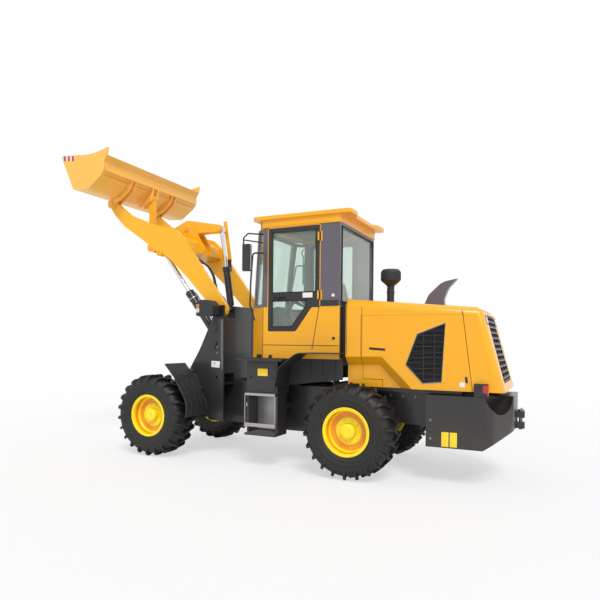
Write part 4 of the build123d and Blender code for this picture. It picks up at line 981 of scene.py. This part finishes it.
class LOADER_OT_cab(bpy.types.Operator):
    """Door seals, handles, hinges, wiper, mirror faces, roof edge and lamp faces"""

    bl_idname = "loader.cab"
    bl_label = "Cab fittings"

    def execute(self, context):
        for name, side in SIDES:
            self.door_trim(name, side)
        self.fixed_trim()
        self.inside()
        return {"FINISHED"}

    def frame_strip(self, form, corners, side, y, width, thick):
        """A flat seal laid round a pane in side view."""
        count = len(corners)
        for index in range(count):
            first = Vector(corners[index])
            second = Vector(corners[(index + 1) % count])
            along = (second - first).normalized()
            across = Vector((-along.y, along.x)) * width / 2
            ends = (first - along * width / 2, second + along * width / 2)
            points = [ends[0] - across, ends[1] - across, ends[1] + across, ends[0] + across]
            low, high = on_side(side, y, y + thick)
            form.prism([(p.x, p.y) for p in points], low, high)

    def door_trim(self, name, side):
        body = "cab_door_" + name
        seal = Form()
        upper = [(520, 2880), (1115, 2880), (1115, 2135), (520, 2135)]
        lower = [(646, 2034), (1115, 2034), (1115, 1716), (836, 1716), (646, 1968)]
        for corners in (upper, lower):
            self.frame_strip(seal, corners, side, CAB_HALF - 2, 16, 5)
        seal.finish("door_seals_" + name, "rubber", body, 1)
        latch = Form()
        low, high = on_side(side, CAB_HALF - 1, CAB_HALF + 9)
        latch.box((560, 690), (low, high), (2066, 2126))
        latch.finish("latch_plate_" + name, "white_plate", body, 2)
        edge = Form()
        low, high = on_side(side, CAB_HALF - 1, CAB_HALF + 2)
        edge.box((1168, 1177), (low, high), (1690, 2944)).box((460, 469), (low, high), (1962, 2944))
        edge.box((460, 1177), (low, high), (2934, 2944))
        edge.finish("door_surround_" + name, "body", "rear_body", 0)
        grip = Form()
        y = side * (CAB_HALF + 30)
        inner = side * (CAB_HALF + 1)
        grip.tube([(930, inner, 2085), (935, y, 2085), (1080, y, 2085), (1085, inner, 2085)], 9)
        grip.disc((1020, side * CAB_HALF, 2050), (0, side, 0), 16, 10)
        grip.finish("door_grip_" + name, "plastic", body, 0)
        hinge = Form()
        for z in (2040, 2740):
            low, high = on_side(side, CAB_HALF + 9, CAB_HALF + 14)
            hinge.box((474, 494), (low, high), (z + 4, z + 106))
            for dz in (22, 88):
                hinge.bolt((484, side * (CAB_HALF + 13.5), z + dz), (0, side, 0), 6)
        hinge.finish("hinge_leaves_" + name, "body", body, 1)

    def fixed_trim(self):
        hinge = Form()
        for z in (2036, 2736):
            hinge.box((436, 458), (CAB_HALF + 0.5, CAB_HALF + 7), (z, z + 118))
        hinge.mirrored().finish("hinge_plates", "body", "rear_body", 1)
        seal = Form()
        seal.box((200, 212), (-560, 560), (2002, 2016)).box((200, 212), (-560, 560), (2898, 2912))
        for y in (-567, 567):
            seal.box((200, 212), (y - 7, y + 7), (2002, 2912))
        seal.finish("rear_pane_seal", "rubber", "rear_body", 1)
        foot = Form()
        foot.box((226, 452), (CAB_HALF, CAB_HALF + 8), (1964, 2030))
        foot.mirrored().finish("pillar_feet", "plastic", "rear_body", 2)
        caps = Form()
        caps.disc((290, CAB_HALF + 7, 2085), (0, 1, 0), 20, 7, 24, 3)
        caps.mirrored().finish("pillar_caps", "white_plate", "rear_body", 0)
        knobs = Form()
        knobs.disc((282, CAB_HALF, 1580), (0, 1, 0), 17, 12, 24, 4)
        knobs.mirrored().finish("base_knobs", "rubber", "rear_body", 0)
        seams = Form()
        seams.box((216, 1236), (CAB_HALF - 0.5, CAB_HALF + 0.8), (1486, 1494))
        seams.box((1236, 1242), (CAB_HALF - 0.5, CAB_HALF + 0.8), (1336, 1954))
        seams.prism([(470, 1950), (478, 1952), (566, 1440), (558, 1438)], CAB_HALF - 0.5, CAB_HALF + 0.8)
        seams.mirrored().finish("panel_seams", "rubber", "rear_body", 0)
        band = Form()
        band.box((300, 1240), (CAB_HALF + 6, CAB_HALF + 13), (2962, 2972))
        band.mirrored().finish("roof_gutter", "body", "rear_body", 2)
        lamp = Form()
        for y in (-395, 395):
            lamp.box((1386, 1392), (y - 44, y + 44), (2966, 3024))
        lamp.finish("roof_lamp_faces", "clear", "rear_body", 3)
        glassy = Form()
        glassy.box((1284, 1291), (838, 862), (2402, 2708))
        glassy.mirrored().finish("mirror_faces", "mirror", "rear_body", 2)
        wiper = Form()
        wiper.tube([(1490, 60, 2010), (1484, 40, 2240), (1476, 20, 2520)], 5)
        wiper.tube([(1480, 8, 2330), (1466, 8, 2760)], 6)
        wiper.disc((1486, 60, 2000), (1, 0, 0.1), 22, 24, 20, 4)
        wiper.finish("front_wiper", "plastic", "rear_body", 0)

    def inside(self):
        """Head lining, floor mat and the instrument hood, seen through the glass."""
        mat = Form()
        mat.box((330, 1220), (-560, 560), (1372, 1380))
        for y in range(-520, 521, 40):
            mat.box((900, 1080), (y - 6, y + 6), (1379, 1385))
        mat.finish("floor_mat", "rubber", "rear_body", 0)
        dash = Form()
        dash.prism([(1200, 1900), (1260, 1985), (1395, 1955), (1395, 1900)], -190, 190)
        dash.finish("instrument_hood", "plastic", "rear_body", 8)
        lining = Form()
        lining.box((270, 1210), (-540, 540), (3002, 3010))
        lining.finish("head_lining", "cloth", "rear_body", 0)


class LOADER_OT_hood(bpy.types.Operator):
    """Vent louvres and frames, grille strips, door handles, latches and seams"""

    bl_idname = "loader.hood"
    bl_label = "Hood fittings"
    vent = [(-705, 1630), (-1010, 1750), (-975, 1110), (-770, 1090), (-580, 1290)]

    def execute(self, context):
        for name, side in SIDES:
            self.side_vent(name, side)
        self.grille()
        self.small_parts()
        return {"FINISHED"}

    def span(self, height):
        """Where the vent's outline starts and ends at one height."""
        crossings = []
        for first, second in zip(self.vent, self.vent[1:] + self.vent[:1]):
            if (first[1] - height) * (second[1] - height) < 0:
                share = (height - first[1]) / (second[1] - first[1])
                crossings.append(first[0] + share * (second[0] - first[0]))
        return (min(crossings), max(crossings)) if len(crossings) > 1 else None

    def side_vent(self, name, side):
        body = "engine_door_" + name
        louvres = Form()
        for height in range(1102, 1740, 15):
            reach = self.span(height)
            if not reach:
                continue
            y = side * (HOOD_HALF - 1)
            back = side * (HOOD_HALF - 24)
            profile = [(y, height), (y, height + 4), (back, height + 13), (back, height + 9)]
            if side > 0:
                profile.reverse()
            louvres.prism(profile, reach[0] + 3, reach[1] - 3, "x")
        low, high = on_side(side, HOOD_HALF - 22, HOOD_HALF - 2)
        for height in range(1130, 1720, 60):
            reach = self.span(height + 4)
            louvres.box((reach[0] + 3, reach[1] - 3), (low, high), (height - 1, height + 9))
        for x in (-900, -780):
            louvres.box((x, x + 8), (low, high), (1120, 1640))
        louvres.finish("vent_louvres_" + name, "plastic", body, 0)
        back = Form()
        low, high = on_side(side, HOOD_HALF - 36, HOOD_HALF - 30)
        back.prism(self.vent, low, high)
        back.finish("vent_screen_" + name, "mesh", body, 0)
        rim = Form()
        self.edge_band(rim, side, 0, 16, 3)
        rim.finish("vent_frame_" + name, "plastic", body, 1)
        # A thin light steel band round the vent frame's outer edge: painted highlight where the frame's edge
        # catches the light
        highlight_band = Form()
        self.edge_band(highlight_band, side, -6, 0, 4)
        highlight_band.finish("vent_painted_highlight_edge_" + name, "steel", body, 0)

    def edge_band(self, form, side, inset, width, proud):
        """A thin raised band that follows the vent's outline."""
        centre = Vector((-820, 1400))
        outer = [Vector(p) - (Vector(p) - centre).normalized() * inset for p in self.vent]
        inner = [Vector(p) - (Vector(p) - centre).normalized() * width for p in self.vent]
        low, high = on_side(side, HOOD_HALF - 2, HOOD_HALF + proud)
        count = len(outer)
        for index in range(count):
            after = (index + 1) % count
            points = [outer[index], outer[after], inner[after], inner[index]]
            form.prism([(p.x, p.y) for p in points], low, high)

    def grille(self):
        strips = Form()
        for z in range(1150, 1800, 62):
            x = tail_x(z + 13)
            strips.prism([(x - 4, z + 4), (x + 2, z + 3), (x + 1, z + 10), (x - 5, z + 9)], -325, 325)
        strips.finish("grille_strips", "steel", "rear_body", 0)
        screen = Form()
        screen.prism(tail_plate(1120, 1835, 42, 48), -322, 322)
        screen.finish("grille_screen", "mesh", "rear_body", 0)
        lamps = Form()
        for side in (-1, 1):
            y = side * 425
            lamps.prism(tail_plate(1750, 1826, -7, 4), y - 48, y + 48)
        lamps.finish("tail_work_lamps", "clear", "rear_body", 3)
        bezel = Form()
        for side in (-1, 1):
            y = side * 425
            bezel.prism(tail_plate(1738, 1838, -3, 3), y - 58, y + 58)
        bezel.finish("tail_lamp_bezels", "plastic", "rear_body", 2)

    def small_parts(self):
        for name, side in SIDES:
            body = "engine_door_" + name
            slot = Form()
            low, high = on_side(side, HOOD_HALF - 1, HOOD_HALF + 2)
            slot.prism([(-150, 1478), (-340, 1466), (-340, 1440), (-150, 1452)], low, high)
            slot.finish("door_pull_" + name, "rubber", body, 1)
            line = Form()
            low, high = on_side(side, HOOD_HALF - 0.5, HOOD_HALF + 0.8)
            line.prism([(-56, 1834), (-62, 1834), (-62, 1376), (-56, 1376)], low, high)
            line.finish("door_edge_" + name, "rubber", body, 0)
            latch = Form()
            low, high = on_side(side, HOOD_HALF - 1, HOOD_HALF + 7)
            latch.prism([(-1222, 1176), (-1246, 1176), (-1254, 1113), (-1230, 1113)], low, high)
            latch.finish("door_latch_" + name, "plastic", body, 2)
        plate = Form()
        corners = [(-1165, 1118), (-1222, 1118), (-1222, 1064), (-1165, 1064)]
        plate.prism(corners, HOOD_HALF - 1, HOOD_HALF + 1.5)
        plate.finish("small_blank_plate", "white_plate", "engine_door_left", 0.4)
        seam = Form()
        lines = (
            ((132, 2030), (126, 2030), (126, 1384), (132, 1384)),
            ((-53, 1936), (-59, 1940), (-59, 1848), (-53, 1848)),
            ((-1180, 1890), (-1186, 1890), (-1193, 1846), (-1187, 1846)),
        )
        for corners in lines:
            seam.prism(corners, HOOD_HALF - 0.5, HOOD_HALF + 0.8)
        seam.mirrored().finish("hood_front_seams", "rubber", "rear_body", 0)
        cover = Form()
        corners = [(-62, 1841), (-1184, 1841), (-1184, 1845.4), (-62, 1845.4)]
        cover.prism(corners, HOOD_HALF - 9, HOOD_HALF - 0.4)
        cover.mirrored().finish("hinge_line_fillers", "body", "rear_body", 0)
        gap = Form()
        gap.box((145, 205), (-560, 560), (1340, 1990)).box((196, 209), (-616, 616), (1345, 1952))
        gap.finish("cab_gap_seal", "rubber", "rear_body", 4)
        clamp = Form()
        clamp.lathe([(46, 0), (52, 0), (52, 12), (46, 12)], (-220, 0, 2150), (0, 0, 1), 40)
        for angle in range(0, 360, 12):
            turn = math.radians(angle)
            x = -220 + 121 * math.cos(turn)
            y = 121 * math.sin(turn)
            corners = [(x - 3, y - 3), (x + 3, y - 3), (x + 3, y + 3), (x - 3, y + 3)]
            clamp.prism(corners, 2312, 2404, "z")
        clamp.finish("precleaner_ribs", "plastic", "rear_body", 0)


class LOADER_OT_boom(bpy.types.Operator):
    """Pin caps, the levelling bar, oil pipes on the cylinders and hoses at the tower"""

    bl_idname = "loader.boom"
    bl_label = "Boom fittings"

    def execute(self, context):
        pins = Form()
        for point, radius in (((0, 0), 46), ((1332, -31), 34)):
            x, z = on_boom(*point)
            pins.disc((x, ARM_OUTER + (12 if point[0] else 0), z), (0, 1, 0), radius, 6, 32, 2)
        pins.mirrored().finish("arm_pin_caps", "boom", "boom", 0)
        crank = Form()
        x, z = on_boom(1435, 395)
        crank.disc((x, 103, z), (0, 1, 0), 44, 14, 32, 3)
        crank.mirrored().finish("bellcrank_pin_caps", "boom", "boom", 0)
        ends = Form()
        for point, y in (((0, 0), 481), ((1332, -31), 493), ((1435, 395), 119)):
            x, z = on_boom(*point)
            ends.bolt((x, y, z), (0, 1, 0), 9)
        ends.mirrored().finish("boom_pin_bolts", "bolt", "boom", 0)
        loop = Form()
        for y in (150, 185):
            route = ((2560, 2700), (2489, 2640), (2400, 2590), (2312, 2460), (2282, 2339), (2250, 2230))
            loop.tube([(x, y, z) for x, z in route], 10)
        loop.finish("boom_hoses", "rubber", "boom", 0)
        self.bar()
        for name, side in SIDES:
            self.lift_pipes(name, side)
        self.tower_pins()
        return {"FINISHED"}

    def bar(self):
        """The flat yellow bar that shows the driver when the bucket is level."""
        form = Form()
        form.prism([(2199, 2690), (2258, 2690), (2350, 3280), (2291, 3280)], -128, -120)
        form.finish("levelling_bar", "boom", "tilt_cylinder", 2)
        clip = Form()
        clip.box((2205, 2262), (-122, -40), (2540, 2574))
        clip.prism([(2196, 2540), (2252, 2540), (2264, 2720), (2206, 2720)], -121, -114)
        clip.finish("levelling_bracket", "frame", "tilt_cylinder", 2)

    def lift_pipes(self, name, side):
        start = Vector((2045, 1495))
        end = Vector(on_boom(1332, -31))
        along = (end - start).normalized()
        across = Vector((-along.y, along.x))
        body = "lift_cylinder_" + name
        y = side * 345
        pipe = Form()
        for offset, y_shift, low, high in ((72, -18, 150, 850), (72, 18, 150, 300)):
            base = start + across * offset
            points = []
            for distance, lift in ((low, -22), (low + 14, 0), (high - 14, 0), (high, -22)):
                p = base + along * distance + across * lift
                points.append((p.x, y + y_shift, p.y))
            pipe.tube(points, 9)
        pipe.finish("lift_pipe_" + name, "steel", body, 0)
        clamps = Form()
        for distance in (260, 520, 780):
            p = start + along * distance
            centre = (p.x, y, p.y)
            clamps.lathe([(57.6, -9), (63, -9), (63, 9), (57.6, 9)], centre, (along.x, 0, along.y), 40)
        clamps.finish("lift_clamps_" + name, "steel", body, 0)
        seal = Form()
        p = start + along * 902
        profile = [(31.5, 0), (48, 0), (46, 10), (34, 14), (31.5, 14)]
        seal.lathe(profile, (p.x, y, p.y), (along.x, 0, along.y), 40)
        seal.finish("rod_wiper_" + name, "rubber", body, 0)

    def tower_pins(self):
        caps = Form()
        for x, z, radius in ((1970, 1960, 44), (2045, 1495, 36)):
            caps.disc((x, 522, z), (0, 1, 0), radius, 5, 32, 2)
            caps.box((x - 12, x + 12), (510, 518), (z - radius - 34, z - radius + 4))
            caps.bolt((x, 518, z - radius - 20), (0, 1, 0), 9)
        caps.mirrored().finish("tower_pin_caps", "frame", "front_body", 0)
        hoses = Form()
        for index, y in enumerate((-150, -110, 110, 150)):
            points = [
                (1958, y, 1400),
                (1990, y, 1560 + 20 * index),
                (2060, y * 0.9, 1760),
                (2040, y * 0.8, 1880),
                (1958, y * 0.8, 1930),
            ]
            hoses.tube(points, 13)
        hoses.finish("tower_hoses", "rubber", "front_body", 0)


class LOADER_OT_bucket(bpy.types.Operator):
    """Cutting edge, side strips, back bands, pin caps and corner reflectors"""

    bl_idname = "loader.bucket"
    bl_label = "Bucket fittings"

    def execute(self, context):
        edge = Form()
        points = [on_bucket(411.5, 581), on_bucket(404, 588), on_bucket(345, 470), on_bucket(355, 463)]
        edge.prism(points, -1012, 1012)
        edge.finish("cutting_edge", "bucket", "bucket", 2)
        side = Form()
        outline = [
            (-462, 604), (-370, 576), (-130, 541), (150, 548), (385, 586),
            (378, 520), (150, 484), (-130, 478), (-372, 512), (-436, 540),
        ]
        side.prism([on_bucket(*p) for p in outline], 1029, 1030.4)
        side.mirrored().finish("side_strips", "bucket", "bucket", 0)
        band = Form()
        for first, second in (((-396, 300), (-396, 352)), ((-300, 214), (-345, 246))):
            nearer = (first[0] - 8, first[1] - 6)
            further = (second[0] - 8, second[1] - 6)
            band.prism([on_bucket(*p) for p in (nearer, further, second, first)], -1008, 1008)
        band.finish("back_bands", "bucket", "bucket", 2)
        mark = Form()
        mark.prism([on_bucket(*p) for p in ((392, 520), (168, 490), (164, 556), (386, 590))], 1030, 1030.7)
        mark.mirrored().finish("corner_marks_white", "white_plate", "bucket", 0)
        red = Form()
        for start in (172, 252, 332):
            corners = ((start, 491), (start + 46, 497), (start + 50, 568), (start + 4, 561))
            red.prism([on_bucket(dx, dz + (start - 172) * 0.14) for dx, dz in corners], 1030.2, 1031)
        red.mirrored().finish("corner_marks_red", "red", "bucket", 0)
        caps = Form()
        x, z = BUCKET_PIN
        caps.disc((x, 511, z), (0, 1, 0), 38, 6, 32, 2)
        caps.mirrored().finish("bucket_pin_caps", "boom", "bucket", 0)
        return {"FINISHED"}


class LOADER_OT_tower(bpy.types.Operator):
    """Bolts, folded strips and blank plates on the front tower, and the headlamps"""

    bl_idname = "loader.tower"
    bl_label = "Tower fittings"

    def execute(self, context):
        bolts = Form()
        heads = (
            (2006, 1453), (2005, 1373), (2040, 1240), (1940, 1240), (2600, 900), (2700, 900), (2800, 890),
        )
        for x, z in heads:
            bolts.bolt((x, 510, z), (0, 1, 0), 13)
        for x in (2722, 2762, 2838, 2878):
            bolts.bolt((x, 520, 622), (0, 0, 1), 14)
        bolts.mirrored().finish("tower_bolts", "bolt", "front_body", 0)
        plate = Form()
        turns = [step / 12 * math.tau for step in range(12)]
        oval = [(2049 + 48 * math.cos(turn), 1726 + 84 * math.sin(turn)) for turn in turns]
        plate.prism(oval, 510, 518)
        plate.bolt((2056, 518, 1772), (0, 1, 0), 11)
        plate.bolt((2040, 518, 1684), (0, 1, 0), 11)
        plate.mirrored().finish("tower_covers", "frame", "front_body", 2)
        strip = Form()
        strip.prism([(1902, 1150), (1942, 1150), (1948, 1820), (1908, 1826)], 510, 516)
        strip.mirrored().finish("tower_strips", "pillar", "front_body", 2)
        blank = Form()
        blank.prism([(1962, 1178), (2094, 1184), (2090, 1268), (1958, 1262)], 510, 513)
        blank.finish("tower_blank_plate", "white_plate", "front_body", 1)
        self.lamps()
        self.fenders()
        return {"FINISHED"}

    def lamps(self):
        bezel = Form()
        bezel.prism([(2208, 1866), (2216, 1872), (2216, 2024), (2208, 2030)], 552, 688)
        bezel.mirrored().finish("headlamp_bezels", "plastic", "front_body", 3)
        clear = Form()
        clear.prism([(2214, 1880), (2224, 1886), (2224, 1960), (2214, 1964)], 562, 680)
        clear.prism([(2160, 1905), (2209, 1905), (2209, 1962), (2160, 1962)], 690, 703)
        clear.mirrored().finish("headlamp_lenses", "clear", "front_body", 3)
        amber = Form()
        amber.prism([(2214, 1972), (2224, 1974), (2222, 2012), (2214, 2016)], 562, 680)
        amber.prism([(2160, 1966), (2209, 1966), (2209, 2016), (2160, 2016)], 690, 703)
        amber.mirrored().finish("turn_lamps", "amber", "front_body", 3)

    def fenders(self):
        bolts = Form()
        for x, z in ((2222, 900), (2380, 1115)):
            bolts.bolt((x, 548, z + 20), (0, 0, 1), 10)
        bolts.mirrored().finish("fender_bolts", "bolt", "front_body", 0)
        arc = [(2158, 562), (2133, 700), (2204, 846), (2343, 1066), (2494, 1228)]
        edge = Form()
        for y in (561, 968):
            edge.tube([(x, y, z) for x, z in arc], 6)
        for y in (660, 765, 870):
            edge.tube([(x - 2, y, z) for x, z in arc], 4)
        edge.mirrored().finish("fender_edges", "plastic", "front_body", 0)


class LOADER_OT_steps(bpy.types.Operator):
    """Tread strips, locker doors, blank plates and rubber mounts at the steps"""

    bl_idname = "loader.steps"
    bl_label = "Step fittings"

    def execute(self, context):
        tread = Form()
        tread.box((912, 1324), (880, 903), (881, 908)).box((907, 1328), (892, 903), (505, 548))
        tread.box((907, 916), (897, 903), (550, 880)).box((1319, 1328), (897, 903), (550, 880))
        for z in (905, 425):
            for x in range(930, 1310, 30):
                tread.box((x, x + 12), (640, 876), (z, z + 4))
        tread.mirrored().finish("step_treads", "tread", "rear_body", 1)
        deck = Form()
        for x in range(820, 1400, 36):
            deck.box((x, x + 14), (640, 944), (1328, 1332))
        deck.mirrored().finish("deck_ribs", "frame", "rear_body", 1)
        door = Form()
        door.box((926, 1310), (850, 856), (925, 1280))
        door.mirrored().finish("locker_doors", "frame", "rear_body", 3)
        panel = Form()
        panel.box((935, 1300), (626, 632), (440, 868))
        panel.mirrored().finish("step_back_panels", "tread", "rear_body", 2)
        yellow = Form()
        yellow.box((1036, 1172), (856, 859), (1118, 1206))
        yellow.finish("locker_blank_plate", "yellow_plate", "rear_body", 1)
        knob = Form()
        for x in (962, 1278):
            knob.disc((x, 856, 1100), (0, 1, 0), 14, 12, 20, 3)
        knob.mirrored().finish("locker_knobs", "plastic", "rear_body", 0)
        guard = Form()
        guard.prism([(170, 1090), (300, 1075), (900, 1000), (1330, 950), (1330, 1326), (170, 1326)], 596, 602)
        for x in (260, 420, 580, 740):
            guard.tube([(x, 604, 1120), (x + 6, 604, 1220), (x, 604, 1318)], 5)
        guard.mirrored().finish("inner_guards", "plastic", "rear_body", 0)
        rubber = Form()
        for x in (1130, 1300):
            profile = [(4, 0), (44, 0), (44, 14), (36, 20), (44, 26), (44, 40), (4, 40)]
            rubber.lathe(profile, (x, 590, 1328), (0, 0, 1), 28)
        rubber.mirrored().finish("cab_mounts", "rubber", "rear_body", 0)
        return {"FINISHED"}


class LOADER_OT_tail(bpy.types.Operator):
    """Lenses, blank plates, bolts and pin bars at the rear"""

    bl_idname = "loader.tail"
    bl_label = "Tail fittings"

    def execute(self, context):
        red = Form()
        red.box((-1466, -1459), (606, 644), (1036, 1104))
        red.box((-1462, -1412), (646, 651), (1014, 1096))
        red.mirrored().finish("tail_lenses_red", "red", "rear_body", 2)
        amber = Form()
        amber.box((-1466, -1459), (606, 644), (982, 1030))
        amber.mirrored().finish("tail_lenses_amber", "amber", "rear_body", 2)
        plates = Form()
        plates.prism([(-990, 580), (-1066, 580), (-1066, 424), (-990, 424)], 649, 652)
        plates.prism([(-1078, 580), (-1154, 580), (-1154, 424), (-1078, 424)], 649, 652)
        plates.finish("counterweight_blank_plates", "yellow_plate", "rear_body", 1)
        bolts = Form()
        for x in (-364, -506, -650):
            bolts.bolt((x, 425, 921), (0, 1, 0), 14)
        for z in (500, 700):
            bolts.bolt((-870, 650, z), (0, 1, 0), 15)
        bolts.mirrored().finish("frame_bolts", "bolt", "rear_body", 0)
        bars = Form()
        bars.tube([(-1742, 0, 806), (-1760, -20, 812), (-1742, -60, 806)], 4)
        bars.finish("tow_pin_ring", "bolt", "rear_body", 0)
        mark = Form()
        mark.box((-1702, -1699), (150, 196), (770, 812))
        mark.finish("rear_reflector", "red", "rear_body", 0.5)
        return {"FINISHED"}


class LOADER_PT_panel(bpy.types.Panel):
    bl_idname = "LOADER_PT_panel"
    bl_label = "Wheel loader"
    bl_space_type = "VIEW_3D"
    bl_region_type = "UI"
    bl_category = "Loader"

    def draw(self, context):
        for group in ("loader_colours", "loader_tyres", "loader_stage"):
            settings = getattr(context.scene, group)
            for key in settings.bl_rna.properties.keys():
                if key not in ("rna_type", "name"):
                    self.layout.prop(settings, key)
        for operator in OPERATORS:
            self.layout.operator(operator.bl_idname)


GROUPS = {"loader_colours": LoaderColours, "loader_tyres": LoaderTyres, "loader_stage": LoaderStage}
OPERATORS = (
    LOADER_OT_stage,
    LOADER_OT_paint,
    LOADER_OT_tyres,
    LOADER_OT_wheels,
    LOADER_OT_seat,
    LOADER_OT_cab,
    LOADER_OT_hood,
    LOADER_OT_boom,
    LOADER_OT_bucket,
    LOADER_OT_tower,
    LOADER_OT_steps,
    LOADER_OT_tail,
)


def register():
    for cls in (*GROUPS.values(), *OPERATORS, LOADER_PT_panel):
        bpy.utils.register_class(cls)
    for name, cls in GROUPS.items():
        setattr(bpy.types.Scene, name, bpy.props.PointerProperty(type=cls))


def unregister():
    for name in GROUPS:
        delattr(bpy.types.Scene, name)
    for cls in reversed((*GROUPS.values(), *OPERATORS, LOADER_PT_panel)):
        bpy.utils.unregister_class(cls)


def main():
    register()
    for operator in OPERATORS:
        area, _, name = operator.bl_idname.partition(".")
        getattr(getattr(bpy.ops, area), name)()


if __name__ == "__main__":
    main()
